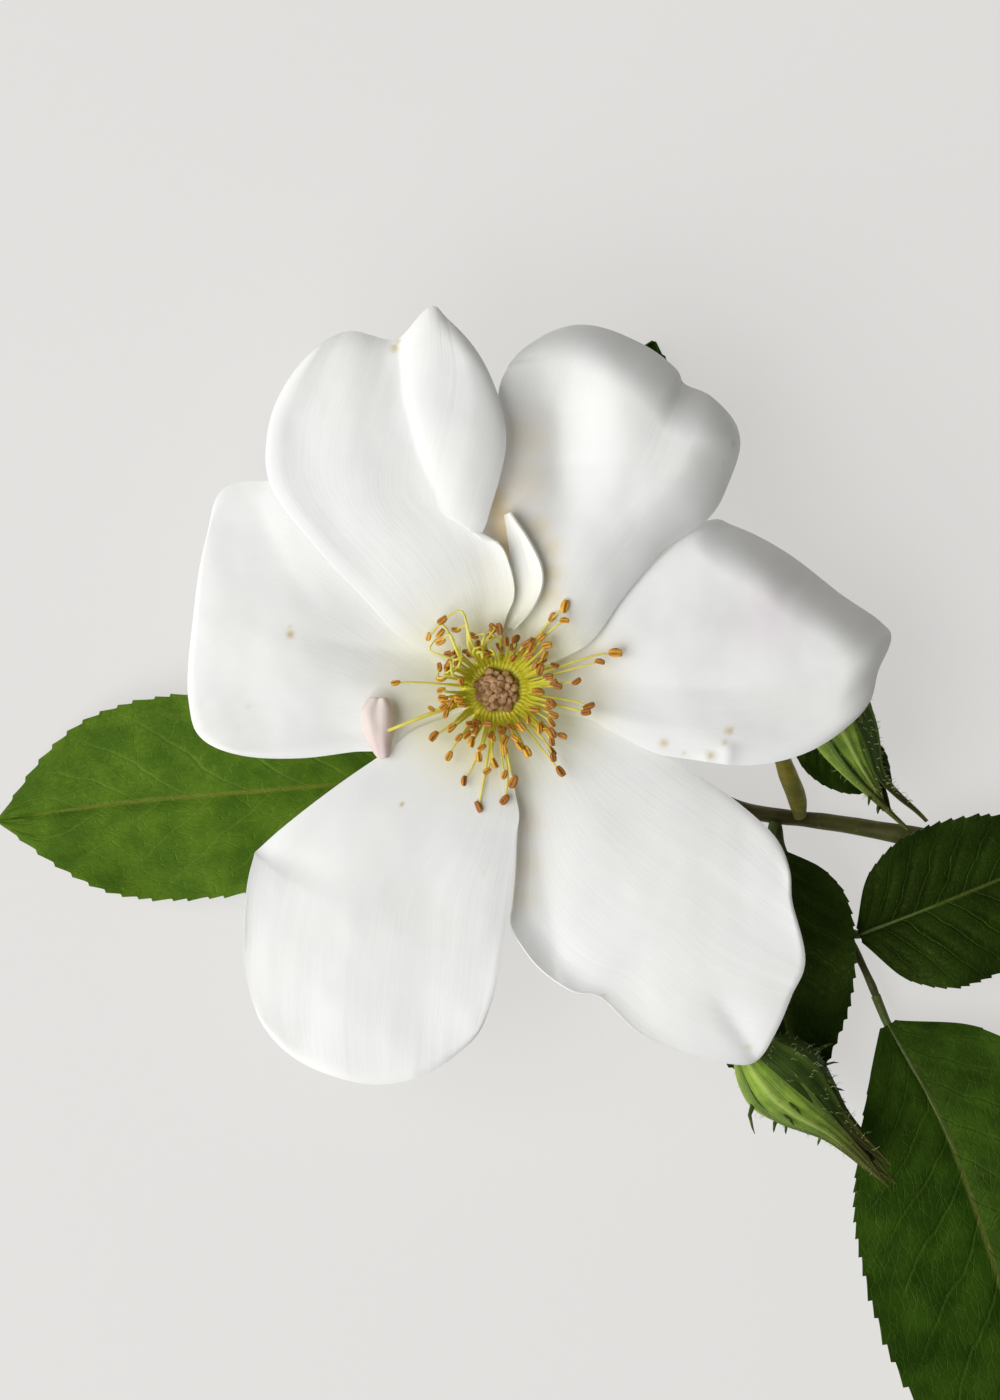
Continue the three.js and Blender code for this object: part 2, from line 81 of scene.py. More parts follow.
def smooth(points, share):  # a smooth curve through the points, read at a share of its way
    last = len(points) - 1
    spot = min(max(share, 0), 1) * last
    i = min(int(spot), last - 1)
    w = spot - i
    b, c = Vector(points[i]), Vector(points[i + 1])
    a = Vector(points[i - 1]) if i > 0 else 2 * b - c
    d = Vector(points[i + 2]) if i + 2 <= last else 2 * c - b
    return b + (c - a) * (w / 2) + (2 * a - 5 * b + 4 * c - d) * (w * w / 2) + (3 * b - a - 3 * c + d) * (w ** 3 / 2)


def level(values, share):  # the same for plain numbers
    return smooth([(value, 0) for value in values], share).x


def ease(value, low, high):  # 0 below low, 1 above high, smooth between
    t = min(max((value - low) / (high - low), 0), 1)
    return t * t * (3 - 2 * t)


def tangent(points, share):
    step = 0.01
    return (smooth(points, min(share + step, 1)) - smooth(points, max(share - step, 0))).normalized()


def distanceToLine(x, y, line):  # in plan: how far off, how far along, and whether on the line's left
    best = (1e9, 0.0, False)
    spot = Vector((x, y))
    for i in range(len(line) - 1):
        a, b = Vector(line[i]), Vector(line[i + 1])
        t = min(max((spot - a).dot(b - a) / (b - a).length_squared, 0), 1)
        onLeft = (b - a).cross(spot - a) > 0
        best = min(best, ((spot - a.lerp(b, t)).length, (i + t) / (len(line) - 1), onLeft))
    return best


# Mesh work


def clearSelection():
    if bpy.context.object and bpy.context.object.mode != "OBJECT":
        bpy.ops.object.mode_set(mode="OBJECT")
    bpy.ops.object.select_all(action="DESELECT")


def chooseOnly(piece):
    clearSelection()
    piece.select_set(True)
    bpy.context.view_layer.objects.active = piece


def finishWith(piece, kind, **settings):
    chooseOnly(piece)
    modifier = piece.modifiers.new(kind.title(), kind)
    for key, value in settings.items():
        setattr(modifier, key, value)
    bpy.ops.object.modifier_apply(modifier=modifier.name)


def smoothShading(piece, degrees=55):
    chooseOnly(piece)
    bpy.ops.object.shade_smooth_by_angle(angle=math.radians(degrees))


def newSolid(name, add, material, **sizes):  # one of Blender's own simple meshes
    clearSelection()
    add(**sizes)
    piece = bpy.context.object
    piece.name = name
    piece.data.materials.append(material)
    return piece


def newSheet(name, columns, rows, pointAt, thickness, materials):
    clearSelection()
    bpy.ops.mesh.primitive_grid_add(x_subdivisions=columns, y_subdivisions=rows, size=1)
    piece = bpy.context.object
    piece.name = piece.data.name = name
    for vertex in piece.data.vertices:
        vertex.co = place(*pointAt(vertex.co.x + 0.5, vertex.co.y + 0.5))
    bpy.ops.object.mode_set(mode="EDIT")
    bpy.ops.mesh.select_all(action="SELECT")
    bpy.ops.mesh.flip_normals()  # the grid's columns run the other way round, so this turns its top up
    bpy.ops.object.mode_set(mode="OBJECT")
    for material in materials:
        piece.data.materials.append(material)
    finishWith(piece, "SOLIDIFY", thickness=thickness * millimetre, offset=0, material_offset=len(materials) - 1)
    smoothShading(piece)
    return piece


def newStrands(name, strands, material, roundness=2):  # each strand is its points and their radii
    clearSelection()
    bpy.ops.curve.primitive_bezier_curve_add()
    piece = bpy.context.object
    piece.name = name
    curve = piece.data
    curve.splines.clear()
    curve.dimensions = "3D"
    curve.bevel_depth = millimetre
    curve.bevel_resolution = roundness
    curve.use_fill_caps = True
    for points, radii in strands:
        spline = curve.splines.new("POLY")
        spline.points.add(len(points) - 1)
        for spot, point, radius in zip(spline.points, points, radii):
            spot.co = (*place(*point), 1)
            spot.radius = radius
    bpy.ops.object.convert(target="MESH")
    piece = bpy.context.object
    piece.data.name = name
    piece.data.materials.clear()
    piece.data.materials.append(material)
    bpy.ops.object.mode_set(mode="EDIT")
    bpy.ops.mesh.select_all(action="SELECT")
    bpy.ops.mesh.remove_doubles(threshold=1e-6)
    bpy.ops.mesh.normals_make_consistent(inside=False)
    bpy.ops.object.mode_set(mode="OBJECT")
    smoothShading(piece, 60)
    return piece


def strandAlong(points, steps, radiusAt):
    shares = [i / steps for i in range(steps + 1)]
    return [smooth(points, s) for s in shares], [radiusAt(s) for s in shares]


def copiesOf(source, name, placements):  # one mesh of its own for each placement, joined into one piece
    clearSelection()
    for matrix in placements:
        copy = source.copy()
        copy.data = source.data.copy()
        copy.data.transform(matrix)
        bpy.context.collection.objects.link(copy)
        copy.select_set(True)
        bpy.context.view_layer.objects.active = copy
    bpy.data.objects.remove(source)
    bpy.ops.object.join()
    piece = bpy.context.object
    piece.name = piece.data.name = name
    return piece


def joinPieces(name, pieces):
    clearSelection()
    for piece in pieces:
        piece.select_set(True)
    bpy.context.view_layer.objects.active = pieces[0]
    bpy.ops.object.join()
    pieces[0].name = pieces[0].data.name = name
    return pieces[0]


def roughen(piece, amount, size):  # small uneven swellings, along the surface's own normals
    moved = [vertex.co + vertex.normal * noise.noise(vertex.co / (size * millimetre)) * amount * millimetre
             for vertex in piece.data.vertices]
    for vertex, spot in zip(piece.data.vertices, moved):
        vertex.co = spot


def addValues(piece, name, valueAt):  # a number for each vertex, worked out from its place in millimetres
    values = piece.data.attributes.new(name, "FLOAT", "POINT")
    for vertex, item in zip(piece.data.vertices, values.data):
        item.value = valueAt((vertex.co - flowerFoot) / millimetre)


def handIn(piece, slot, *nodes):
    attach(piece, "root")
    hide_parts(*nodes)


# Shader building


def feed(tree, socket, value):  # from another node's output, or as a fixed value
    if hasattr(value, "links"):
        tree.links.new(value, socket)
    else:
        socket.default_value = value


def addNode(tree, kind, values=None, **settings):
    node = tree.nodes.new("ShaderNode" + kind)
    for key, value in settings.items():
        setattr(node, key, value)
    for key, value in (values or {}).items():
        feed(tree, node.inputs[key], value)
    return node


def reckon(tree, operation, a, b=0.0):
    return addNode(tree, "Math", {0: a, 1: b}, operation=operation).outputs[0]


def times(tree, a, b):
    return reckon(tree, "MULTIPLY", a, b)


def plus(tree, a, b):
    return reckon(tree, "ADD", a, b)


def minus(tree, a, b):
    return reckon(tree, "SUBTRACT", a, b)


def offMiddle(tree, axis):  # 0 in the middle of a 0 to 1 axis, 1 at both ends
    return times(tree, reckon(tree, "ABSOLUTE", minus(tree, axis, 0.5)), 2.0)


def remap(tree, value, low, high, toLow=0.0, toHigh=1.0):
    values = {"Value": value, "From Min": low, "From Max": high, "To Min": toLow, "To Max": toHigh}
    return addNode(tree, "MapRange", values, interpolation_type="SMOOTHSTEP").outputs[0]


def blendColours(tree, share, a, b):
    node = addNode(tree, "Mix", data_type="RGBA")
    feed(tree, node.inputs[0], share)
    for i, colour in ((6, a), (7, b)):
        feed(tree, node.inputs[i], colour if hasattr(colour, "links") else (*colour, 1))
    return node.outputs[2]


def tint(tree, colour, mask, amount, towards):  # moves a colour towards another where the mask is high
    return blendColours(tree, times(tree, mask, amount), colour, towards)


def newGroup(name, inputs, outputs):
    group = bpy.data.node_groups.new(name, "ShaderNodeTree")
    for label, value in inputs.items():
        kind = "NodeSocketFloat" if isinstance(value, float) else "NodeSocketVector"
        socket = group.interface.new_socket(label, in_out="INPUT", socket_type=kind)
        if kind == "NodeSocketFloat":
            socket.default_value = value
    for label in outputs:
        group.interface.new_socket(label, in_out="OUTPUT", socket_type="NodeSocketFloat")
    return group, group.nodes.new("NodeGroupInput"), group.nodes.new("NodeGroupOutput")


def makeStreaks():  # fine lines that follow the piece's own UV map, from foot to tip
    group, given, out = newGroup("streaks", {"UV": None, "Lines": 60.0, "Length": 3.0}, ["Value"])
    stretch = addNode(group, "CombineXYZ", {"X": given.outputs["Lines"], "Y": given.outputs["Length"], "Z": 1.0})
    spot = addNode(group, "VectorMath", {0: given.outputs["UV"], 1: stretch.outputs[0]}, operation="MULTIPLY")
    lines = addNode(group, "TexNoise", {"Vector": spot.outputs[0], "Scale": 1.0, "Detail": 5.0, "Roughness": 0.62})
    group.links.new(remap(group, lines.outputs[0], 0.3, 0.7), out.inputs["Value"])
    return group


def makeMottle():  # soft patches
    group, given, out = newGroup("mottle", {"Vector": None, "Scale": 100.0, "Contrast": 0.2}, ["Value"])
    values = {"Vector": given.outputs["Vector"], "Scale": given.outputs["Scale"], "Detail": 4.0, "Roughness": 0.55}
    patches = addNode(group, "TexNoise", values)
    low = minus(group, 0.5, given.outputs["Contrast"])
    high = plus(group, 0.5, given.outputs["Contrast"])
    group.links.new(remap(group, patches.outputs[0], low, high), out.inputs["Value"])
    return group


def makeVeins():  # a midrib, side veins that lean towards the tip, and the fine net between them
    inputs = {"UV": None, "Count": 9.0, "Slant": 2.2, "Width": 0.08, "Net": 26.0}
    group, given, out = newGroup("leafVeins", inputs, ["Midrib", "Side", "Net"])
    axes = addNode(group, "SeparateXYZ", {"Vector": given.outputs["UV"]})
    across = offMiddle(group, axes.outputs[0])
    side = times(group, reckon(group, "GREATER_THAN", axes.outputs[0], 0.5), 0.45)
    wander = addNode(group, "TexNoise", {"Vector": given.outputs["UV"], "Scale": 6.0, "Detail": 2.0})
    onward = plus(group, times(group, axes.outputs[1], given.outputs["Count"]), side)
    lean = times(group, reckon(group, "POWER", across, 0.85), given.outputs["Slant"])
    phase = plus(group, minus(group, onward, lean), times(group, wander.outputs[0], 0.5))
    nearest = minus(group, 0.5, reckon(group, "ABSOLUTE", minus(group, reckon(group, "FRACT", phase), 0.5)))
    vein = remap(group, nearest, given.outputs["Width"], 0.0)
    fading = remap(group, across, 1.0, 0.35, 0.15, 1.0)
    group.links.new(times(group, vein, fading), out.inputs["Side"])
    group.links.new(remap(group, across, 0.034, 0.008), out.inputs["Midrib"])
    cells = addNode(group, "TexVoronoi", {"Vector": given.outputs["UV"], "Scale": given.outputs["Net"]},
                    feature="DISTANCE_TO_EDGE")
    group.links.new(remap(group, cells.outputs[0], 0.07, 0.0), out.inputs["Net"])
    return group


def makeFromAxis():  # 0 close to an upright axis, 1 far from it
    group, given, out = newGroup("fromAxis", {"Vector": None, "Centre": None, "Near": 0.0, "Far": 1.0}, ["Value"])
    offset = addNode(group, "VectorMath", {0: given.outputs["Vector"], 1: given.outputs["Centre"]},
                     operation="SUBTRACT")
    flat = addNode(group, "VectorMath", {0: offset.outputs[0], 1: (1, 1, 0)}, operation="MULTIPLY")
    reach = addNode(group, "VectorMath", {0: flat.outputs[0]}, operation="LENGTH")
    value = remap(group, reach.outputs["Value"], given.outputs["Near"], given.outputs["Far"])
    group.links.new(value, out.inputs["Value"])
    return group


streaks, mottle, leafVeins, fromAxis = makeStreaks(), makeMottle(), makeVeins(), makeFromAxis()


def useGroup(tree, group, values):
    node = tree.nodes.new("ShaderNodeGroup")
    node.node_tree = group
    for key, value in values.items():
        feed(tree, node.inputs[key], value)
    return node.outputs


def startMaterial(name, roughness, fixed):
    material = bpy.data.materials.new(name)
    material.use_nodes = True
    tree = material.node_tree
    shader = tree.nodes["Principled BSDF"]
    shader.inputs["Roughness"].default_value = roughness
    for key, value in fixed.items():
        shader.inputs[key].default_value = value
    coordinates = tree.nodes.new("ShaderNodeTexCoord")
    return material, tree, shader, coordinates.outputs["Object"], coordinates.outputs["UV"]


def bumpFrom(tree, shader, height, strength, depth):
    bump = addNode(tree, "Bump", {"Height": height, "Strength": strength, "Distance": depth * millimetre})
    tree.links.new(bump.outputs[0], shader.inputs["Normal"])
    return bump.outputs[0]


def letLightThrough(tree, shader, colour, normal, share):
    thin = addNode(tree, "BsdfTranslucent", {"Color": colour, "Normal": normal})
    both = addNode(tree, "MixShader", {0: share, 1: shader.outputs[0], 2: thin.outputs[0]})
    tree.links.new(both.outputs[0], tree.nodes["Material Output"].inputs["Surface"])


def petalMaterial(name, settings):
    material, tree, shader, spot, uv = startMaterial(name, 0.6, {"Specular IOR Level": 0.16})
    centre = tuple(flowerFoot)
    foot = useGroup(tree, fromAxis, {"Vector": spot, "Centre": centre, "Near": 0.003, "Far": settings["creamTo"]})
    lines = useGroup(tree, streaks, {"UV": uv, "Lines": settings["lines"], "Length": 2.2})
    broad = useGroup(tree, streaks, {"UV": uv, "Lines": 9.0, "Length": 1.3})
    patches = useGroup(tree, mottle, {"Vector": spot, "Scale": 70.0, "Contrast": 0.22})
    cells = addNode(tree, "TexNoise", {"Vector": spot, "Scale": 2600.0, "Detail": 2.0})
    colour = blendColours(tree, foot[0], settings["claw"], settings["face"])
    colour = tint(tree, colour, patches[0], 0.5, settings["cool"])
    colour = tint(tree, colour, lines[0], 0.035, settings["line"])
    colour = tint(tree, colour, broad[0], 0.05, settings["line"])
    # the warm marks paint shade, a tan tint where a petal lies in shadow; blush and stain are the petal's own colour
    for attribute in ("warmShade", "blush", "stain"):
        mark = addNode(tree, "Attribute", attribute_name=attribute)
        colour = blendColours(tree, mark.outputs["Fac"], colour, settings[attribute])
    tree.links.new(colour, shader.inputs["Base Color"])
    tree.links.new(remap(tree, lines[0], 0.0, 1.0, 0.58, 0.7), shader.inputs["Roughness"])
    height = plus(tree, plus(tree, times(tree, lines[0], 0.35), broad[0]), times(tree, cells.outputs[0], 0.2))
    normal = bumpFrom(tree, shader, height, 0.22, 0.1)
    letLightThrough(tree, shader, colour, normal, settings["through"])
    return material


petalFinish = {
    "creamTo": 0.018, "lines": 75.0, "through": 0.24,
    "claw": (0.89, 0.865, 0.58), "face": (0.945, 0.94, 0.915), "cool": (0.925, 0.938, 0.94),
    # the warm colour is painted shade, the tan of a petal lying in shadow
    "line": (0.78, 0.79, 0.74), "stain": (0.58, 0.42, 0.09), "blush": (0.90, 0.76, 0.84), "warmShade": (0.88, 0.72, 0.42),
}
petalWhite = petalMaterial("petalWhite", petalFinish)
innerWhite = petalMaterial("innerWhite", {**petalFinish, "creamTo": 0.017, "face": (0.94, 0.935, 0.89)})
pinkPetal = petalMaterial("pinkPetal", {**petalFinish, "creamTo": 0.012, "claw": (0.80, 0.74, 0.45),
                                        "face": (0.84, 0.74, 0.68), "cool": (0.82, 0.62, 0.60), "lines": 24.0})


def leafMaterial(name, settings):
    fixed = {"Specular IOR Level": settings["gloss"], "Specular Tint": (0.62, 0.85, 0.16, 1)}
    material, tree, shader, spot, uv = startMaterial(name, 0.4, fixed)
    veins = useGroup(tree, leafVeins, {"UV": uv, "Count": 9.5, "Slant": 2.3, "Width": settings["width"], "Net": 34.0})
    patches = useGroup(tree, mottle, {"Vector": spot, "Scale": 210.0, "Contrast": 0.16})
    fine = useGroup(tree, mottle, {"Vector": spot, "Scale": 1500.0, "Contrast": 0.2})
    colour = blendColours(tree, patches[0], settings["dark"], settings["light"])
    colour = tint(tree, colour, fine[0], 0.22, settings["dark"])
    colour = tint(tree, colour, veins["Net"], settings["net"], settings["vein"])
    colour = tint(tree, colour, veins["Side"], settings["side"], settings["vein"])
    colour = tint(tree, colour, veins["Midrib"], 0.85, settings["midrib"])
    tree.links.new(colour, shader.inputs["Base Color"])
    tree.links.new(remap(tree, fine[0], 0.0, 1.0, settings["rough"] - 0.06, settings["rough"] + 0.08),
                   shader.inputs["Roughness"])
    relief = plus(tree, times(tree, veins["Net"], 0.4), veins["Side"])
    relief = plus(tree, relief, times(tree, fine[0], 0.25))
    normal = bumpFrom(tree, shader, times(tree, relief, settings["raised"]), 0.5, 0.16)
    letLightThrough(tree, shader, colour, normal, 0.12)
    return material


brightLeaf = {"dark": (0.040, 0.098, 0.006), "light": (0.082, 0.158, 0.010), "vein": (0.14, 0.21, 0.03),
              "midrib": (0.13, 0.15, 0.02), "net": 0.15, "side": 0.35, "width": 0.07, "gloss": 0.35,
              "rough": 0.5, "raised": -1.0}
# the darker copies are painted shade: greens darkened for leaves that lie under and behind the flower; the bright copy
# is the lit leaf
shadedLeaf = {**brightLeaf, "dark": (0.011, 0.036, 0.002), "light": (0.028, 0.072, 0.004), "vein": (0.055, 0.105, 0.012),
            "midrib": (0.085, 0.105, 0.02), "side": 0.22}
deeplyShadedLeaf = {**shadedLeaf, "dark": (0.005, 0.016, 0.001), "light": (0.012, 0.033, 0.002), "vein": (0.03, 0.055, 0.006)}
paleUnderside = {**brightLeaf, "dark": (0.12, 0.19, 0.05), "light": (0.17, 0.25, 0.08), "vein": (0.26, 0.33, 0.14),
                 "midrib": (0.30, 0.36, 0.16), "gloss": 0.2, "rough": 0.68, "raised": 1.0, "side": 0.6}
# the dark and the deepest tops are painted shade
leafTops = {"bright": leafMaterial("leafBright", brightLeaf), "dark": leafMaterial("leafShaded", shadedLeaf),
            "deepShade": leafMaterial("leafDeeplyShaded", deeplyShadedLeaf)}
leafUnder = leafMaterial("leafUnderside", paleUnderside)


def barkMaterial(name, settings):  # stems and stalks: two colours in lengthwise patches, with small pores
    material, tree, shader, spot, _ = startMaterial(name, 0.55, {"Specular IOR Level": 0.35})
    long = addNode(tree, "Mapping", {"Vector": spot, "Scale": settings["stretch"]})
    patches = useGroup(tree, mottle, {"Vector": long.outputs[0], "Scale": settings["patch"], "Contrast": 0.13})
    grain = useGroup(tree, mottle, {"Vector": long.outputs[0], "Scale": 1400.0, "Contrast": 0.2})
    pores = addNode(tree, "TexVoronoi", {"Vector": spot, "Scale": 650.0})
    dots = remap(tree, pores.outputs[0], 0.22, 0.12)
    colour = blendColours(tree, patches[0], settings["first"], settings["second"])
    colour = tint(tree, colour, grain[0], 0.35, settings["grain"])
    colour = tint(tree, colour, dots, settings["pores"], settings["pore"])
    tree.links.new(colour, shader.inputs["Base Color"])
    tree.links.new(remap(tree, grain[0], 0.0, 1.0, 0.45, 0.68), shader.inputs["Roughness"])
    bumpFrom(tree, shader, plus(tree, grain[0], dots), 0.5, 0.08)
    return material


stemBark = {"stretch": (0.25, 1, 1), "patch": 320.0, "first": (0.060, 0.046, 0.010), "second": (0.105, 0.105, 0.017),
            "grain": (0.028, 0.020, 0.006), "pores": 0.5, "pore": (0.17, 0.13, 0.05)}
stemMaterial = barkMaterial("stemBark", stemBark)
budTwigMaterial = barkMaterial("budTwig", {**stemBark, "first": (0.33, 0.27, 0.03), "second": (0.19, 0.20, 0.03),
                                           "grain": (0.10, 0.08, 0.02), "pores": 0.25})
greenStalkMaterial = barkMaterial("greenStalk", {**stemBark, "stretch": (1, 1, 0.3), "first": (0.12, 0.20, 0.03),
                                                 "second": (0.19, 0.25, 0.05), "grain": (0.09, 0.14, 0.03),
                                                 "pores": 0.2})
rachisMaterial = barkMaterial("rachisBark", {**stemBark, "stretch": (1, 1, 1), "first": (0.075, 0.062, 0.014),
                                             "second": (0.085, 0.105, 0.02), "grain": (0.05, 0.035, 0.01)})
petioleMaterial = barkMaterial("petioleGreen", {**stemBark, "stretch": (1, 1, 1), "first": (0.10, 0.13, 0.025),
                                                "second": (0.09, 0.15, 0.02), "grain": (0.06, 0.08, 0.02),
                                                "pores": 0.15})


def cutWoodMaterial():
    material, tree, shader, spot, _ = startMaterial("cutWood", 0.75, {"Specular IOR Level": 0.2})
    grain = useGroup(tree, mottle, {"Vector": spot, "Scale": 1800.0, "Contrast": 0.2})
    colour = blendColours(tree, grain[0], (0.42, 0.40, 0.22), (0.60, 0.56, 0.36))
    tree.links.new(colour, shader.inputs["Base Color"])
    bumpFrom(tree, shader, grain[0], 0.4, 0.05)
    return material


cutWood = cutWoodMaterial()


def sepalMaterial(name, settings):
    fixed = {"Specular IOR Level": 0.3, "Specular Tint": (0.7, 0.9, 0.3, 1)}
    material, tree, shader, spot, uv = startMaterial(name, 0.6, fixed)
    lines = useGroup(tree, streaks, {"UV": uv, "Lines": 16.0, "Length": 1.6})
    fine = useGroup(tree, streaks, {"UV": uv, "Lines": 70.0, "Length": 5.0})
    patches = useGroup(tree, mottle, {"Vector": spot, "Scale": 330.0, "Contrast": 0.18})
    shaded = addNode(tree, "Attribute", attribute_name="shaded")
    axes = addNode(tree, "SeparateXYZ", {"Vector": uv})
    across = offMiddle(tree, axes.outputs[0])
    colour = blendColours(tree, patches[0], settings["dark"], settings["light"])
    colour = tint(tree, colour, lines[0], 0.6, settings["line"])
    # painted shade darkens the sepal towards its edges, in the grooves between sepals; a painted highlight lightens it
    # along the keel
    colour = blendColours(tree, remap(tree, across, 0.35, 1.0, 0.0, 0.9), colour, settings["line"])
    colour = blendColours(tree, remap(tree, across, 0.16, 0.04, 0.0, 0.6), colour, settings["keelHighlight"])
    colour = tint(tree, colour, fine[0], 0.25, settings["down"])
    colour = blendColours(tree, shaded.outputs["Fac"], colour, settings["tip"])
    tree.links.new(colour, shader.inputs["Base Color"])
    tree.links.new(remap(tree, fine[0], 0.0, 1.0, 0.5, 0.72), shader.inputs["Roughness"])
    bumpFrom(tree, shader, plus(tree, lines[0], times(tree, fine[0], 0.5)), 0.6, 0.14)
    return material


# the keel colour is a painted highlight; line also paints the shade at the sepal edges
sepalGreen = {"dark": (0.10, 0.19, 0.012), "light": (0.27, 0.41, 0.035), "line": (0.03, 0.07, 0.005),
              "keelHighlight": (0.36, 0.46, 0.10), "down": (0.36, 0.43, 0.15), "tip": (0.050, 0.042, 0.011)}
sepalLime = sepalMaterial("sepalLime", sepalGreen)
# the darker copy of the sepal colour is painted shade, for the sepals on the side of a bud turned away from the light
sepalPaintedShade = sepalMaterial("sepalPaintedShade", {**sepalGreen, "dark": (0.017, 0.042, 0.004), "light": (0.045, 0.088, 0.009),
                                          "line": (0.014, 0.032, 0.004), "keelHighlight": (0.12, 0.18, 0.03),
                                          "down": (0.11, 0.16, 0.04)})


def plainGrain(name, first, second, scale, roughness, depth, fixed=None):  # small grains of two colours
    material, tree, shader, spot, _ = startMaterial(name, roughness, fixed or {})
    grain = useGroup(tree, mottle, {"Vector": spot, "Scale": scale, "Contrast": 0.14})
    tree.links.new(blendColours(tree, grain[0], first, second), shader.inputs["Base Color"])
    tree.links.new(remap(tree, grain[0], 0.0, 1.0, roughness - 0.08, roughness + 0.08), shader.inputs["Roughness"])
    bumpFrom(tree, shader, grain[0], 0.5, depth)
    return material


hairMaterial = plainGrain("downyHair", (0.40, 0.45, 0.20), (0.30, 0.36, 0.14), 900.0, 0.6, 0.01)
discMaterial = plainGrain("discYellowGreen", (0.70, 0.66, 0.04), (0.80, 0.74, 0.07), 700.0, 0.3, 0.03,
                          {"Specular IOR Level": 0.6, "Coat Weight": 0.25})
pistilMaterial = plainGrain("pistilPink", (0.23, 0.11, 0.035), (0.50, 0.29, 0.14), 900.0, 0.5, 0.06)
thornMaterial = plainGrain("thornBrown", (0.16, 0.06, 0.03), (0.22, 0.12, 0.05), 900.0, 0.4, 0.02)


def filamentMaterial():
    material, tree, shader, spot, _ = startMaterial("filamentYellow", 0.4, {"Specular IOR Level": 0.4})
    away = useGroup(tree, fromAxis, {"Vector": spot, "Centre": tuple(flowerFoot), "Near": 0.003, "Far": 0.009})
    patches = useGroup(tree, mottle, {"Vector": spot, "Scale": 500.0, "Contrast": 0.2})
    colour = blendColours(tree, away[0], (0.64, 0.62, 0.04), (0.82, 0.76, 0.17))
    colour = tint(tree, colour, patches[0], 0.35, (0.66, 0.50, 0.05))
    tree.links.new(colour, shader.inputs["Base Color"])
    tree.links.new(colour, shader.inputs["Emission Color"])
    shader.inputs["Emission Strength"].default_value = 0.1  # painted light: a faint glow in the filaments' own colour, so they stay bright where they stand in shade
    normal = bumpFrom(tree, shader, patches[0], 0.3, 0.03)
    letLightThrough(tree, shader, colour, normal, 0.3)
    return material


def antherMaterial():
    material, tree, shader, spot, _ = startMaterial("antherOrange", 0.5, {"Specular IOR Level": 0.35})
    grain = useGroup(tree, mottle, {"Vector": spot, "Scale": 1300.0, "Contrast": 0.18})
    patches = useGroup(tree, mottle, {"Vector": spot, "Scale": 160.0, "Contrast": 0.12})
    # painted shade: the anther darker in its seam and along its sides
    paintedSeamShade = addNode(tree, "Attribute", attribute_name="paintedSeamShade")
    colour = blendColours(tree, patches[0], (0.42, 0.16, 0.012), (0.90, 0.48, 0.03))
    colour = tint(tree, colour, grain[0], 0.4, (0.33, 0.10, 0.016))
    colour = tint(tree, colour, paintedSeamShade.outputs["Fac"], 0.85, (0.16, 0.045, 0.012))
    tree.links.new(colour, shader.inputs["Base Color"])
    bumpFrom(tree, shader, grain[0], 0.5, 0.04)
    return material


filamentYellow, antherOrange = filamentMaterial(), antherMaterial()
print("materials ready")

# Camera, light and floor

studio = {
    "eye": (0.36, -1.2, 600), "lens": 123.86,
    "key": {"from": (-610, -230, 640), "size": 1.1, "energy": 13.9, "colour": (0.98, 0.99, 1.0)},
    "sky": (1.0, 0.985, 0.955), "skyStrength": 0.14,
    "floor": (0.20, 0.197, 0.193), "glow": (0.57, 0.56, 0.546),
}


def setStudio():
    camera = bpy.data.objects.new("camera", bpy.data.cameras.new("camera"))
    bpy.context.scene.collection.objects.link(camera)
    camera.location = place(*studio["eye"])
    camera.data.lens = studio["lens"]
    camera.data.sensor_width = camera.data.sensor_height = 36
    camera.data.sensor_fit = "AUTO"
    camera.data.clip_end = 20
    bpy.context.scene.camera = camera
    bpy.context.scene.view_settings.view_transform = "Standard"

    key = bpy.data.objects.new("key", bpy.data.lights.new("key", "AREA"))
    bpy.context.scene.collection.objects.link(key)
    key.location = place(*studio["key"]["from"])
    key.rotation_euler = (place(0, 0, 15) - key.location).to_track_quat("-Z", "Y").to_euler()
    key.data.size = studio["key"]["size"]
    key.data.energy = studio["key"]["energy"]
    key.data.color = studio["key"]["colour"]

    world = bpy.data.worlds.new("softRoom")
    bpy.context.scene.world = world
    world.use_nodes = True
    world.node_tree.nodes["Background"].inputs["Color"].default_value = (*studio["sky"], 1)
    world.node_tree.nodes["Background"].inputs["Strength"].default_value = studio["skyStrength"]

    clearSelection()
    bpy.ops.mesh.primitive_plane_add(size=6)
    floor = bpy.context.object
    floor.name = "floor"
    floor.data.transform(Matrix.Translation((0, 0, cadBox[0].z - 0.0002)))
    material, tree, shader, spot, _ = startMaterial("floorPaper", 0.9, {"Specular IOR Level": 0.1})
    grain = useGroup(tree, mottle, {"Vector": spot, "Scale": 500.0, "Contrast": 0.3})
    shade = tuple(0.985 * c for c in studio["floor"])
    tree.links.new(blendColours(tree, grain[0], shade, studio["floor"]), shader.inputs["Base Color"])
    shader.inputs["Emission Color"].default_value = (*studio["glow"], 1)  # a lit sweep, which softens the shadows
    shader.inputs["Emission Strength"].default_value = 1
    floor.data.materials.append(material)


setStudio()

# Petals
# A petal is a four-sided patch: the arc of its claw, its two sides and the top edge between its corners.
# rim runs anticlockwise as [degrees, reach past the seat circle, rise above the seat]; corners count its points.
# roll turns an edge down (up, where it is negative) by each depth along it, over the width that follows.
# A fold is a line in plan, its height, and how far it fades out on the line's left and right; it is full at
# the line's first point and gone at its last. stains, blushes and the warm marks are a place in plan, a size, a
# strength;
# the warm marks are painted shade, a tan tint where a petal lies in the shadow of another petal or of the stamens.

seat = {
    "height": 17.75, "radius": 4, "clawSpan": 58, "clawReach": -1.4, "liftedFrom": 6,
    "thickness": 0.26, "columns": 120, "rows": 104,
}
foldSoftness = 0.4
petalWaves = {  # each a height and the size that it spans: in plan, or in waves across and along the petal
    "broad": (0.4, 9), "fine": (0.045, 2.6), "ribs": (0.03, 22, 2.2), "rim": (0.22, 7),
}

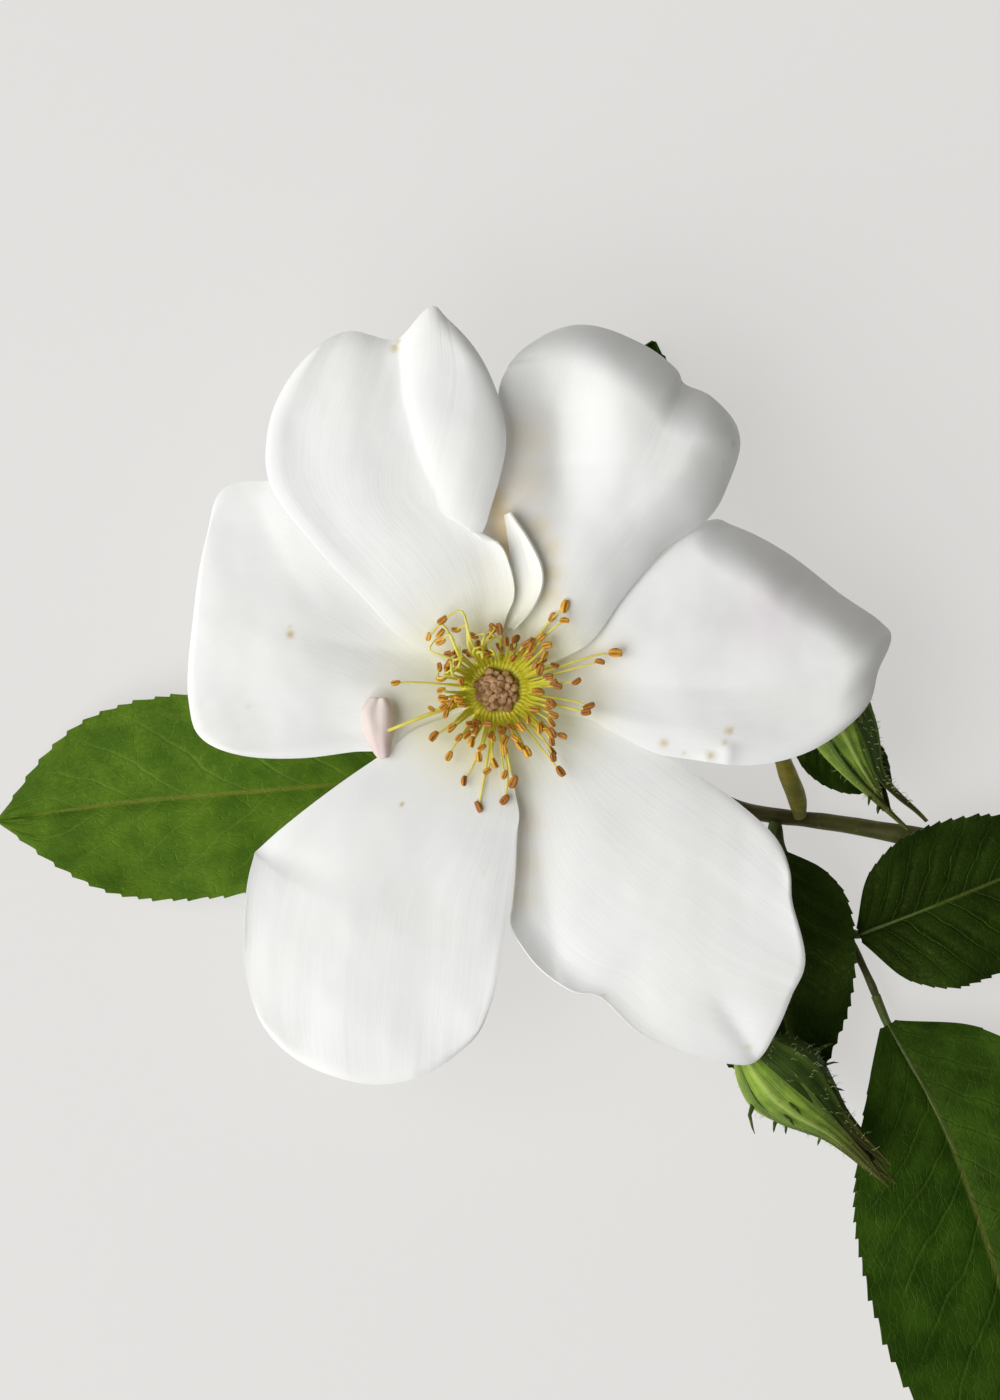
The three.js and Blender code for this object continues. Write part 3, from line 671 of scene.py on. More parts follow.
petals = {
    "left": {
        "claw": 178, "lift": 0, "corners": (6, 10), "belly": .9,
        "rim": [[140, 8, .6], [135, 21, 1.1], [136, 31, 1.5], [138.5, 34, 1.5], [144, 37, 1.4],
                [152.5, 35.5, 1.1], [167, 33.6, .8], [182, 33.2, .8], [189, 32.2, .9], [194, 28, 1], [199, 21, 1],
                [203, 15, .9], [209, 9.5, .6]],
        "roll": {"top": ([.4, .3, .25, .4], 1.6), "clockwise": ([0, 0, .2, .3], 2),
                 "anticlockwise": ([0, .1, .4, .5], 1.8)},
        "folds": [([(-8, 4), (-18, 5.5), (-27, 7)], -.35, (2.2, 1.4)),
                  ([(-9, 1), (-20, 0), (-33, -1.5)], .3, (2.6, 1.6)),
                  ([(-29, 22), (-25, 14), (-20, 8)], -.4, (2.2, 2.8))],
        "stains": [((-24.9, 6.7), .45, .75), ((-24.9, 7.6), .25, .3), ((-30, -2), .3, .2)],
    },
    "lower_left": {
        "claw": 242, "lift": .6, "corners": (8, 14), "belly": .8,
        "rim": [[206, 6, .9], [209, 11, 1.3], [211, 19, 1.7], [213.5, 29.8, 2], [215, 32, 2.1],
                [223.5, 38, 1.3], [228, 41.4, .8], [234.5, 45, .5], [240.5, 46.6, .4], [246.5, 46.6, .6],
                [253, 45.7, .9], [259, 43.3, 1.4], [263.5, 40.2, 1.9], [267, 37, 2.4], [269.6, 32, 2.8],
                [271.4, 26, 2.9], [273.7, 20, 2.9], [277, 14.2, 2.6], [280, 9.5, 2.1]],
        "roll": {"top": ([.4, .3, .3, .4], 1.6), "clockwise": ([0, .1, .2, -.3, .2], 2),
                 "anticlockwise": ([0, 0, .1, .2], 1.4)},
        "folds": [([(-33, -18), (-27, -20), (-18, -22)], -1.5, (3.4, 3.4)),
                  ([(-20, -40), (-17, -27), (-13, -17)], .3, (5, 5)),
                  ([(-9, -40), (-7.4, -25), (-7, -14)], -.35, (5, 6)),
                  ([(-24, -44), (-21, -36)], -.3, (2.4, 3))],
        "stains": [((-11.4, -13.7), .2, .9), ((-1.6, -22), .3, .15)],
    },
    "lower_right": {
        "claw": 303, "lift": 0, "corners": (12, 17), "belly": .7,
        "rim": [[280, 8, .7], [277, 15.4, 1.1], [274.4, 21.4, 1.3], [273.4, 24.4, 1.3],
                [276, 27.5, 1.2], [279, 30.2, 1], [284, 33.4, .9], [288.7, 35.2, .8], [292.4, 40.7, .8],
                [296, 44, .8], [302, 49.2, .9], [305, 50.6, 1], [309, 49.2, 2.0], [314, 47, 3.0],
                [318.7, 45.2, 4.0], [324, 39.8, 4.4], [328.3, 37.2, 4.2], [332, 33.9, 3.6], [334.7, 28.5, 2.4],
                [337.6, 21.5, 1.3], [342.5, 14.5, .6], [346, 8, .3]],
        "roll": {"top": ([.2, .3, .3, .3], 1.6), "clockwise": ([-.3, -.7, -1.0, -.6, .2], 3.4),
                 "anticlockwise": ([0, .1, .3, .4], 1.6)},
        "folds": [([(7, -32), (4.8, -20), (3.5, -9)], -.7, (4, 2.4)),
                  ([(31.4, -44.6), (28.6, -40), (25, -35)], -.7, (1.2, 2)),
                  ([(25, -44), (17, -26), (10, -12)], .25, (5, 5))],
        "stains": [((12.9, -36.9), .3, .45), ((30.4, -43.0), .35, .35)],
        # the warm marks are painted shade: the shadow the lower left petal casts along this petal's left side
        "warmShades": [((3.4, -16), 2.2, .3), ((3.2, -21), 2.2, .3), ((3.0, -25), 1.8, .25)],
    },
    "right": {
        "claw": 363, "lift": .6, "corners": (8, 15), "belly": .2,
        "rim": [[342, 7, 1.1], [340.3, 10.3, 1.5], [338.3, 16, 2.1], [340.5, 21, 2.5],
                [343.3, 27.4, 2.9], [348, 33.3, 3.1], [353.4, 37.8, 3.3], [358.2, 40.8, 3.4],
                [363, 42, 3.4], [367.5, 44, 3.4], [370, 43.2, 3.4], [376, 39, 3.4], [385.5, 34.8, 3.3],
                [394.5, 31, 3], [398.5, 29, 2.6], [402, 22, 2], [400, 13, 1.4], [391, 6, .7]],
        "roll": {"top": ([2, 4.2, 6.8, 7.2, 5.6], 7.4), "clockwise": ([0, .3, .5, 1.2], 2.4),
                 "anticlockwise": ([0, 0, 1.2, 5], 7)},
        "folds": [([(14, 5), (24, 7), (36, 8)], .4, (2.2, 2.2)), ([(13, 1), (26, 0), (38, 1)], -.4, (2, 2)),
                  ([(12, -3), (24, -5), (36, -6)], .3, (1.6, 2)),
                  ([(27.6, -8.6), (27.9, -5.8)], .5, (.8, .9)), ([(25.3, -8.6), (25.6, -7)], .3, (.7, .7)),
                  ([(38, 15), (32, 8)], -.35, (1.6, 2)), ([(45, 4), (36, 3)], .3, (1.6, 2))],
        "stains": [((20.1, -6.4), .5, .6), ((27.9, -4.9), .45, .7), ((25.6, -7.9), .4, .6), ((27.4, -6.3), .3, .5),
                   ((22.5, -7.6), .25, .4), ((46.6, 2.2), .25, .4)],
        # the warm mark is painted shade near the stamens; the blush is the petal's own pink
        "blushes": [((32.6, 8.6), 4.5, .3)], "warmShades": [((12, 2), 4, .12)],
    },
    "upper_right": {
        "claw": 416, "lift": 1.2, "corners": (7, 13), "belly": 1.5,
        "rim": [[386, 6, 1.7], [388, 9, 2.2], [396, 14.3, 3], [400, 21.6, 4.0], [399.2, 28.6, 4.7],
                [402, 33.5, 5.2], [406.5, 38.4, 5.5], [413.5, 39.7, 5.6], [418.5, 39.2, 5.5], [421, 40.2, 5.6],
                [427.6, 41.1, 5.6], [437, 41, 5.7], [444.3, 37.8, 5.6], [449, 33.3, 5.4], [451, 27, 4.3],
                [455, 21, 3.2], [460, 14, 1.9], [453, 4.6, .8]],
        "roll": {"top": ([5.2, 5, 4.2, 4, 3.4], 6.6), "clockwise": ([0, .3, 1.8, 4.8, 5.4], 6.4),
                 "anticlockwise": ([0, 0, -.4, -1.0, .6], 5)},
        "folds": [([(7.4, 33), (7.8, 26), (8.8, 15)], -3.4, (4.8, 4.8)),
                  ([(14, 38), (14.6, 28), (12.5, 15)], .5, (4, 4)),
                  ([(21, 36), (17, 28), (14, 18)], -.4, (2.4, 2.4)), ([(26, 30), (19, 22), (14, 14)], .3, (3, 3))],
        "stains": [((28.4, 29.5), .25, .4), ((27.2, 27.2), .2, .3)],
        # the warm marks are painted shade, where this petal lies in the shadow of the upper left petal's curl and of
        # the inner petal
        "warmShades": [((0, 22.8), 1.7, .7), ((.4, 21), 1.7, .85), ((.7, 19.2), 1.7, .9), ((1.3, 17.4), 1.7, .9),
                  ((1.8, 15.6), 1.6, .8), ((6.4, 17), 1.5, .45), ((6.6, 14), 1.4, .5), ((6.2, 11.5), 1.3, .45),
                  ((5, 19.5), 1.6, .45), ((3.4, 30), 3, .25), ((3.2, 25), 3, .3)],
    },
    "upper_left": {
        "claw": 478, "lift": 1.9, "corners": (9, 14), "belly": .5,
        "rim": [[443, 4.4, 1.2], [439.5, 7.4, 2], [444.6, 11.3, 3.2], [449.2, 13.5, 4.2],
                [456, 14.2, 4.6], [453.4, 16.3, 5.4], [449.2, 21.7, 6.6], [448.2, 27, 7.3], [452.3, 34.8, 8.2],
                [457.7, 40.5, 8.8], [460, 42.1, 8.9], [466, 39.4, 8], [472.4, 42.1, 8.2], [478, 41.9, 8.2],
                [485, 40.1, 7.3], [491.5, 37.2, 6.4], [498, 32.3, 5.2], [501.5, 24.5, 3.9], [505.6, 15.4, 2.4],
                [511, 9.4, 1.5], [512, 5, .9]],
        "roll": {"top": ([1.4, .7, .5, .5], 2.4), "clockwise": ([-.6, -.9, -.2, 1.2, 1.5], 4),
                 "anticlockwise": ([0, .2, .4, .5], 2)},
        "folds": [([(-12.1, 43.5), (-11.4, 35), (-9.6, 28), (-7.2, 22.7), (-3.8, 14)], -1.15, (1.3, 5)),
                  ([(-18, 40), (-17, 28), (-12, 16)], .35, (4, 4)),
                  ([(-24, 32), (-19, 20), (-12, 10)], -.3, (3.4, 3.4))],
        "stains": [((-12.2, 40.7), .45, .7), ((-11.8, 41.6), .3, .6)],
        # the warm mark is painted shade
        "warmShades": [((-1.5, 15.5), 1.6, .12)],
    },
}


def petalPatch(shape):
    ends = [[shape["claw"] + side * seat["clawSpan"], seat["clawReach"], 0] for side in (-0.5, 0.5)]
    outline = [ends[0], *shape["rim"], ends[1]]
    first, last = (corner / (len(outline) - 1) for corner in shape["corners"])

    def edge(degrees, reach, rise):
        lift = shape["lift"] * ease(reach, seat["clawReach"], seat["liftedFrom"])
        return polar(degrees, seat["radius"] + reach, seat["height"] + lift + rise)

    @lru_cache(maxsize=None)
    def outlineAt(share):
        return edge(*smooth(outline, share))

    @lru_cache(maxsize=None)
    def clawAt(across):
        return edge(shape["claw"] + (across - 0.5) * seat["clawSpan"], seat["clawReach"], 0)

    def pointAt(across, along):
        sides = outlineAt(first * along).lerp(outlineAt(1 - (1 - last) * along), across)
        edges = clawAt(across).lerp(outlineAt(first + (last - first) * across), along)
        atClaw = clawAt(0).lerp(clawAt(1), across)
        atTop = outlineAt(first).lerp(outlineAt(last), across)
        return sides + edges - atClaw.lerp(atTop, along)

    return pointAt


def petalSurface(shape, seed):
    patch = petalPatch(shape)

    def wave(kind, x, y):
        return petalWaves[kind][0] * noise.noise(Vector((x, y, seed)))

    @lru_cache(maxsize=None)
    def widthAt(along):
        return (patch(1, along) - patch(0, along)).length

    @lru_cache(maxsize=None)
    def lengthAt(across):
        return (patch(across, 1) - patch(across, 0)).length

    def turnedDown(across, along):
        cubes = 0.0
        for edge, away, share in (("top", (1 - along) * lengthAt(across), across),
                                  ("clockwise", across * widthAt(along), along),
                                  ("anticlockwise", (1 - across) * widthAt(along), along)):
            depths, reach = shape["roll"][edge]
            cubes += (max(0.0, 1 - away / reach) ** 2 * level(depths, share)) ** 3
        return math.copysign(abs(cubes) ** (1 / 3), cubes)  # near a corner the deeper roll leads

    def pointAt(across, along):
        point = patch(across, along)
        rise = shape["belly"] * math.sin(math.pi * along) * math.sin(math.pi * across) - turnedDown(across, along)
        for line, height, reach in shape["folds"]:
            away, share, onLeft = distanceToLine(point.x, point.y, line)
            fade = ease(1 - share, 0, 0.6)
            side = reach[0 if onLeft else 1]
            rise += height * math.exp(foldSoftness - math.hypot(away / side, foldSoftness)) * fade
        inside = ease(along, 0.1, 0.5) * ease(min(across, 1 - across), 0.0, 0.12)
        for kind in ("broad", "fine"):
            size = petalWaves[kind][1]
            rise += inside * wave(kind, point.x / size, point.y / size)
        rise += ease(along, 0.25, 0.9) * wave("ribs", across * petalWaves["ribs"][1], along * petalWaves["ribs"][2])
        rise += ease(along, 0.85, 1) * wave("rim", across * petalWaves["rim"][1], 2.0)
        point.z += rise
        return point

    return pointAt


def spots(marks):
    def valueAt(spot):
        value = 0.0
        for (x, y), size, strength in marks:
            away = math.hypot(spot.x - x, spot.y - y) + 0.25 * size * noise.noise(spot * 3)
            value = max(value, strength * math.exp(-(away / size) ** 2))
        return value
    return valueAt


def makePetals():
    for number, (side, shape) in enumerate(petals.items()):
        surface = petalSurface(shape, 7.3 * number + 1.1)
        title = "petal" + side.title().replace("_", "")
        petal = newSheet(title, seat["columns"], seat["rows"], surface, seat["thickness"], [petalWhite])
        # the warm marks are painted shade
        for value, marks in (("stain", "stains"), ("blush", "blushes"), ("warmShade", "warmShades")):
            addValues(petal, value, spots(shape.get(marks, [])))
        handIn(petal, "petal", "petal_" + side)
    print("petals done")


makePetals()

# Blades: the inner petal, the petaloid, leaves and sepals


def bladePoint(midrib, halfWidths, across, along, fold):  # halfWidths are those on the right and on the left
    heading = tangent(midrib, along)
    sideways = Vector((-heading.y, heading.x, 0)).normalized()
    side = 2 * across - 1
    widths = halfWidths[1] if side > 0 else halfWidths[0]
    reach = side * level(widths, along)
    point = smooth(midrib, along) + sideways * reach
    point.z += fold * abs(reach)
    return point


innerPetal = {
    "midrib": [(1.7, 7.4, 21), (3.4, 10.8, 21.9), (4.0, 13.8, 22.7), (3.1, 17.4, 23.1), (1.4, 21.2, 23.4)],
    "right": [.35, 1.3, 1.5, .9, .15], "left": [.6, 1.8, 2.3, 1.7, .5],
    "curl": 0.5, "thickness": .24,
}


def makeInnerPetal():
    s = innerPetal

    def pointAt(across, along):
        point = bladePoint(s["midrib"], (s["right"], s["left"]), across, along, 0.0)
        side = 2 * across - 1
        point.z += s["curl"] * abs(side) ** 3 * math.sin(math.pi * min(along + 0.15, 1)) - side
        point.z += 0.08 * noise.noise(Vector((across * 9, along * 3, 4)))
        return point

    petal = newSheet("petalInner", 26, 60, pointAt, s["thickness"], [innerWhite])
    handIn(petal, "petal_inner", "petal_inner")


petaloid = {
    "stalk": [(-3.9, -1.6, 18.6), (-5.6, -2.1, 20.6), (-8.4, -3.0, 21.9), (-11.4, -4.2, 21.9), (-13.4, -5.0, 21.2)],
    "midrib": [(-13.6, -8.2, 20.8), (-14, -6.3, 21.4), (-14.3, -3.6, 21.8), (-14.2, -.9, 21.5)],
    "halfWidth": [.45, .9, 1.25, 1.7, 1.95, 1.8, .85], "curl": 1.5, "thickness": .5,
}


def makePetaloid():
    s = petaloid

    def pointAt(across, along):
        point = bladePoint(s["midrib"], (s["halfWidth"], s["halfWidth"]), across, along, 0.0)
        side = 2 * across - 1
        point.z -= s["curl"] * side * side * level([.3, .8, 1, .6], along)
        point.z += 0.25 * noise.noise(Vector((across * 3, along * 3, 9))) + 0.2 * math.sin(across * 9)
        return point

    blade = newSheet("petaloidBlade", 24, 30, pointAt, s["thickness"], [pinkPetal])
    finishWith(blade, "SUBSURF", levels=1, render_levels=1)
    stalk = newStrands("petaloidStalk", [strandAlong(s["stalk"], 24, lambda t: .27 - .05 * t)], filamentYellow)
    handIn(joinPieces("petaloid", [blade, stalk]), "petaloid", "petaloid")


makeInnerPetal()
makePetaloid()

# The flower's middle

middle = {
    "floor": 17.55, "discRadius": 3.2, "discTube": 1.15, "discHeight": 1.15,
    "granules": 32, "granuleRadius": .56, "domeRadius": 2.45, "domeHeight": 3.1,
}
# Stamens that stand out, as [degrees, reach of the anther, its height above the disc, size of the anther].
shownStamens = [
    [51, 12.9, 5.0, 1.15], [46, 11.6, 5.6, .9], [53, 10.9, 4.6, .8], [17.5, 14.9, 4.2, 1.2], [15.5, 12.8, 4.4, 1],
    [6, 9.6, 4.6, .9], [-10, 11.2, 4.6, 1.15], [-14, 11.0, 4.8, 1.0], [-17, 6.6, 5.4, 1], [-24, 7.4, 5.2, 1],
    [-38, 8.4, 4.8, 1.1], [-43, 9.0, 4.6, 1], [-35, 9.6, 4.3, .9], [-48, 9.9, 4.0, 1], [-52, 12.4, 3.6, 1.1],
    [-50, 10.5, 4.4, .9], [-68, 7.2, 4.9, 1], [-64, 8.2, 4.6, 1.05], [-83, 7.3, 5.0, 1], [-92, 8.8, 4.4, 1],
    [-85, 10.2, 4.2, .95], [-80, 11.2, 4.0, 1.2], [-86, 13.2, 3.7, 1.15], [-99, 14.2, 3.6, 1.05],
    [-97, 9.8, 4.4, .85], [-110, 11.6, 3.8, .9], [-126, 9.8, 4.3, .9], [-105, 8.3, 4.7, .9], [-144, 9.4, 4.2, 1.1],
    [-164, 8.2, 4.2, .7], [-116, 6.9, 5.2, 1], [-128, 5.2, 5.8, .9], [-161, 5.9, 5.2, .85], [-168, 6.4, 5.3, .8],
    [176, 12.2, 4.2, .85], [150, 6.6, 5.6, 1], [143, 5.8, 5.8, 1], [135, 9.6, 5.2, 1], [139, 8.9, 6.2, 1.05],
    [128, 10.6, 6.4, 1.1], [124, 8.7, 6.0, .9], [142, 10.4, 5.4, .85], [88, 7.3, 6.2, 1.05], [79, 5.9, 6.0, .9],
    [101, 4.3, 6.2, .85], [50, 8.2, 5.6, 1], [42, 8.0, 5.4, 1], [36, 7.0, 5.6, .9], [57, 6.6, 6.0, .95],
    [47, 5.6, 6.2, .9], [25, 5.7, 5.6, 1],
]
stamenSettings = {"extra": 68, "radius": .15, "steps": 16, "curlyFrom": 92, "curlyTo": 160}


def makeAntherSource():  # two long lobes with a seam between them, about 1.5 mm long, pointing along +X
    anther = newSolid("antherSource", bpy.ops.mesh.primitive_uv_sphere_add, antherOrange,
                      segments=14, ring_count=8, radius=1)
    # where the painted shade goes: the seam on top, less of it underneath, and the outer sides
    paintedSeamShade = anther.data.attributes.new("paintedSeamShade", "FLOAT", "POINT")
    for vertex, item in zip(anther.data.vertices, paintedSeamShade.data):
        x, y, z = vertex.co
        seam = math.exp(-(y / 0.24) ** 2)
        item.value = max(seam if z > -0.2 else 0.4 * seam, ease(abs(y), .75, 1) * .6)
        lobes = 1 - 0.55 * seam * (1 if z > 0 else 0.4)
        length = 0.76 * (1 - 0.3 * seam * abs(x) ** 3) * (1 + 0.1 * abs(y))
        vertex.co = Vector((x * length, y * 0.43 * (1 + 0.12 * x), z * 0.32 * lobes + 0.16 * x * x - 0.05 * y * y))
    smoothShading(anther, 70)
    return anther


def stamenList():
    rng = random.Random(41)
    stamens = [list(row) for row in shownStamens]
    for index in range(stamenSettings["extra"]):
        degrees = index * goldenAngle + rng.uniform(-8, 8)
        stamens.append([degrees, rng.uniform(4.1, 7.6), rng.uniform(4.4, 6.2), rng.uniform(.75, 1)])
    return stamens, rng


def stamenPath(degrees, reach, height, rng):
    turned = (degrees + 360) % 360
    curly = stamenSettings["curlyFrom"] < turned < stamenSettings["curlyTo"] and reach < 11.5
    sway = rng.uniform(-7, 7)
    root = polar(degrees + sway + rng.uniform(-4, 4), rng.uniform(2.9, 3.5), middle["floor"] + .95)
    tip = polar(degrees, reach, middle["floor"] + height)
    if curly:  # these arch up and over, and come back down to the anther
        over = polar(degrees + sway * 1.6, 3.6 + reach * .3, middle["floor"] + height + .9)
        outer = polar(degrees + sway + rng.choice((-8, 8)), reach * .97, middle["floor"] + height + 1)
        return [root, polar(degrees + sway * 1.5, 3.7 + .08 * reach, root.z + height * .4), over, outer, tip]
    near = polar(degrees + sway * .8, 4.1 + (reach - 4) * .12, root.z + height * .2)
    low = polar(degrees + sway * .6, 4.2 + (reach - 4) * .35, root.z + height * .5)
    far = polar(degrees + sway * .4, 4 + (reach - 4) * .76, middle["floor"] + height * .95)
    return [root, near, low, far, tip]


def makeStamens():
    s = middle
    disc = newSolid("disc", bpy.ops.mesh.primitive_torus_add, discMaterial, major_segments=352, minor_segments=18,
                    major_radius=s["discRadius"] * millimetre, minor_radius=s["discTube"] * millimetre)
    for vertex in disc.data.vertices:
        x, y, z = vertex.co / millimetre
        ridge = 1 + .22 * math.sin(44 * math.atan2(y, x)) * ease(math.hypot(x, y), 2.6, 3.6)
        height = s["discHeight"] * (z / s["discTube"]) * ridge
        vertex.co = place(x, y, s["floor"] + s["discHeight"] * .45 + max(height, -s["discHeight"] * .45))
    smoothShading(disc)

    stamens, rng = stamenList()
    strands, placements = [], []
    for degrees, reach, height, size in stamens:
        path = stamenPath(degrees, reach, height, rng)
        radius = stamenSettings["radius"] * rng.uniform(.85, 1.15)
        steps = stamenSettings["steps"]
        strands.append(strandAlong(path, steps, lambda t, r=radius: r * (1.45 - .75 * t)))
        heading = tangent(path, 1)
        heading.z *= .35
        turn = heading.to_track_quat("X", "Z").to_matrix().to_4x4()
        swing = Matrix.Rotation(rng.uniform(-.7, .7), 4, "Z") @ Matrix.Rotation(rng.uniform(-.6, .6), 4, "X")
        scale = size * millimetre * rng.uniform(.92, 1.08)
        placements.append(Matrix.Translation(place(*path[-1])) @ turn @ swing
                          @ Matrix.Diagonal((scale, scale * rng.uniform(.85, 1.1), scale, 1)))
    filaments = newStrands("filaments", strands, filamentYellow, 1)
    anthers = copiesOf(makeAntherSource(), "anthers", placements)
    handIn(joinPieces("stamens", [disc, filaments, anthers]), "stamen", "stamens")
    print("stamens done:", len(stamens))


def makePistil():  # a low column whose top is a crowd of small faceted stigmas
    s = middle
    rng = random.Random(17)
    source = newSolid("granule", bpy.ops.mesh.primitive_ico_sphere_add, pistilMaterial, subdivisions=2, radius=1)
    for vertex in source.data.vertices:
        vertex.co *= 1 + .28 * noise.noise(vertex.co * 2.2)
        vertex.co.z *= .8 - .25 * math.exp(-vertex.co.xy.length_squared / .08) * (1 if vertex.co.z > 0 else 0)
    placements = []
    for index in range(s["granules"]):
        share = math.sqrt((index + .3) / s["granules"])
        reach = s["domeRadius"] * share
        height = s["floor"] + s["domeHeight"] * (1 - .38 * share ** 2) + rng.uniform(-.12, .12)
        spot = polar(index * goldenAngle, reach, height)
        size = s["granuleRadius"] * rng.uniform(.82, 1.2) * millimetre
        lean = Matrix.Rotation(rng.uniform(0, 6.28), 4, "Z") @ Matrix.Rotation(.5 * share, 4, "Y")
        placements.append(Matrix.Translation(place(*spot)) @ lean @ Matrix.Scale(size, 4))
    granules = copiesOf(source, "granules", placements)
    smoothShading(granules, 24)
    trunk = [(0, 0, s["floor"] + height) for height in (-.1, 1.2, 2.3)]
    column = newStrands("column", [(trunk, [1.85, 2.05, 1.7])], pistilMaterial, 5)
    handIn(joinPieces("pistil", [granules, column]), "pistil", "pistil")
    print("pistil done")


makeStamens()
makePistil()

# Leaves

ovate = [.07, .36, .61, .78, .9, .97, 1, .97, .83, .5, .02]
rounded = [.1, .6, .84, .97, 1.01, 1, .93, .81, .63, .37, .02]
broad = [.07, .56, .78, .87, .93, .98, 1, .97, .83, .5, .02]
leafSettings = {"columns": 44, "rowsPerTooth": 6, "thickness": .3, "stalkRadius": .6, "quilt": .18, "channel": .3}

# start is where the stalk begins, blade the points of the midrib from the blade's base to its tip; right and left
# are the half widths on each side, as a size and an outline.
# top picks a leaf's colour; the darker choices are painted shade
leaves = {
    "leaf_left": {
        "start": (6.4, -3.0, 4.0), "top": "bright", "slot": "leaf",
        "blade": [(-1.5, -10.4, 3.6), (-14, -11.2, 4.6), (-30, -12.5, 4.4), (-47, -14, 2.6), (-62, -16.2, .6)],
        "right": (12.7, ovate), "left": (12.7, ovate), "teeth": 30, "bite": .38, "fold": .1,
    },
    "leaf_upper": {
        "start": (11.3, -4.9, 2.8), "top": "dark", "slot": "leaf",
        "blade": [(9.8, 6.2, 4), (11.6, 15, 5), (14.2, 25, 4.6), (17, 34.5, 2.6), (19.5, 43.4, .6)],
        "right": (7.4, ovate), "left": (7.4, ovate), "teeth": 24, "bite": .35, "fold": .12,
    },
    "leaf_back": {
        "start": (35.2, -5.4, 7.6), "top": "deepShade", "slot": "leaf",
        "blade": [(36.9, -3.4, 8.4), (40.8, -6.5, 8.6), (44.8, -9.3, 8.2), (48.5, -11.3, 7)],
        "right": (4.6, rounded), "left": (3.6, ovate), "teeth": 14, "bite": .12, "fold": .1,
    },
    "leaf_lower": {
        "start": (34.3, -16.6, 2.3), "top": "deepShade", "slot": "leaf",
        "blade": [(33.4, -19.4, 5.4), (33.6, -25.4, 6.6), (34.3, -33.4, 6.6), (36, -42.6, 5.2), (38.8, -50, 3.6)],
        "right": (9.6, ovate), "left": (10, rounded), "teeth": 20, "bite": .4, "fold": .1,
    },
    "leaflet_right": {
        "start": (43.6, -30.0, 3.4), "top": "deepShade", "slot": "dark_leaf",
        "blade": [(44.8, -30.2, 4.7), (53.6, -26.8, 5.2), (63.4, -22.8, 5.2), (73.6, -18.8, 4.8)],
        "right": (10.6, rounded), "left": (9.4, rounded), "teeth": 22, "bite": .4, "fold": .08,
    },
    "leaflet_left": {
        "start": (42.3, -30.9, 2.6), "top": "dark", "slot": "dark_leaf",
        "blade": [(41.4, -31.6, 3.1), (36.6, -35, 3), (31.4, -38.6, 2), (27, -41.6, .7)],
        "right": (4.6, rounded), "left": (4.8, rounded), "teeth": 16, "bite": .3, "fold": .06,
    },
    "leaflet_terminal": {
        "start": (46.9, -37.8, 3.1), "top": "dark", "slot": "dark_leaf",
        "blade": [(48.4, -41.4, 3.6), (54.6, -52.7, 4.8), (59.4, -65, 5), (65.2, -82.6, 3.2), (70.8, -99.6, .6)],
        "right": (16, ovate), "left": (16, broad), "teeth": 26, "bite": .6, "fold": .08,
    },
}


def toothed(along, count, bite):  # teeth that lean towards the tip, none at the very base
    phase = (along * count) % 1
    return bite * (phase ** 1.4 - .5) * ease(along, .06, .16) * (1 - ease(along, .97, 1))


def leafSurface(shape, seed):
    s = leafSettings
    halfWidths = [[size * width for width in outline] for size, outline in (shape["right"], shape["left"])]

    def pointAt(across, along):
        side = abs(2 * across - 1)
        point = bladePoint(shape["blade"], halfWidths, across, along, shape["fold"])
        heading = tangent(shape["blade"], along)
        outward = Vector((-heading.y, heading.x, 0)).normalized() * (1 if across > .5 else -1)
        edge = ease(side, .86, 1)
        point += (outward + heading * .7) * toothed(along, shape["teeth"], shape["bite"]) * edge
        phase = along * 9.5 - side ** .85 * 2.3 + (.45 if across > .5 else 0)
        ribs = abs((phase % 1) - .5) * 2  # 1 on a side vein, 0 half way between two
        point.z -= s["quilt"] * ribs ** 3 * math.sin(math.pi * min(side + .1, 1)) * ease(along, 0, .15)
        point.z -= s["channel"] * math.exp(-(side / .07) ** 2)
        point.z += .55 * noise.noise(Vector((point.x / 11, point.y / 11, seed))) * ease(side, .1, .9)
        point.z += .3 * ease(side, .7, 1) * math.sin(along * 17 + seed)
        point.z = max(point.z, s["thickness"] * .6)
        return point

    return pointAt


def makeLeaves():
    s = leafSettings
    for number, (name, shape) in enumerate(leaves.items()):
        rows = shape["teeth"] * s["rowsPerTooth"]
        blade = newSheet(name + "Blade", s["columns"], rows, leafSurface(shape, 3.7 * number + .4), s["thickness"],
                         [leafTops[shape["top"]], leafUnder])
        under = [smooth(shape["blade"], t) - Vector((0, 0, .35)) for t in (0, .06, .14, .3, .5)]
        path = [Vector((p.x, p.y, max(p.z, .35))) for p in (Vector(shape["start"]), *under)]
        radius = s["stalkRadius"]
        strand = strandAlong(path, 36, lambda t: radius * (1 - .72 * t))
        stalk = newStrands(name + "Stalk", [strand], petioleMaterial)
        handIn(joinPieces(name + "Whole", [blade, stalk]), shape["slot"], name)
    print("leaves done")


makeLeaves()

# Stem, stalks and rachis

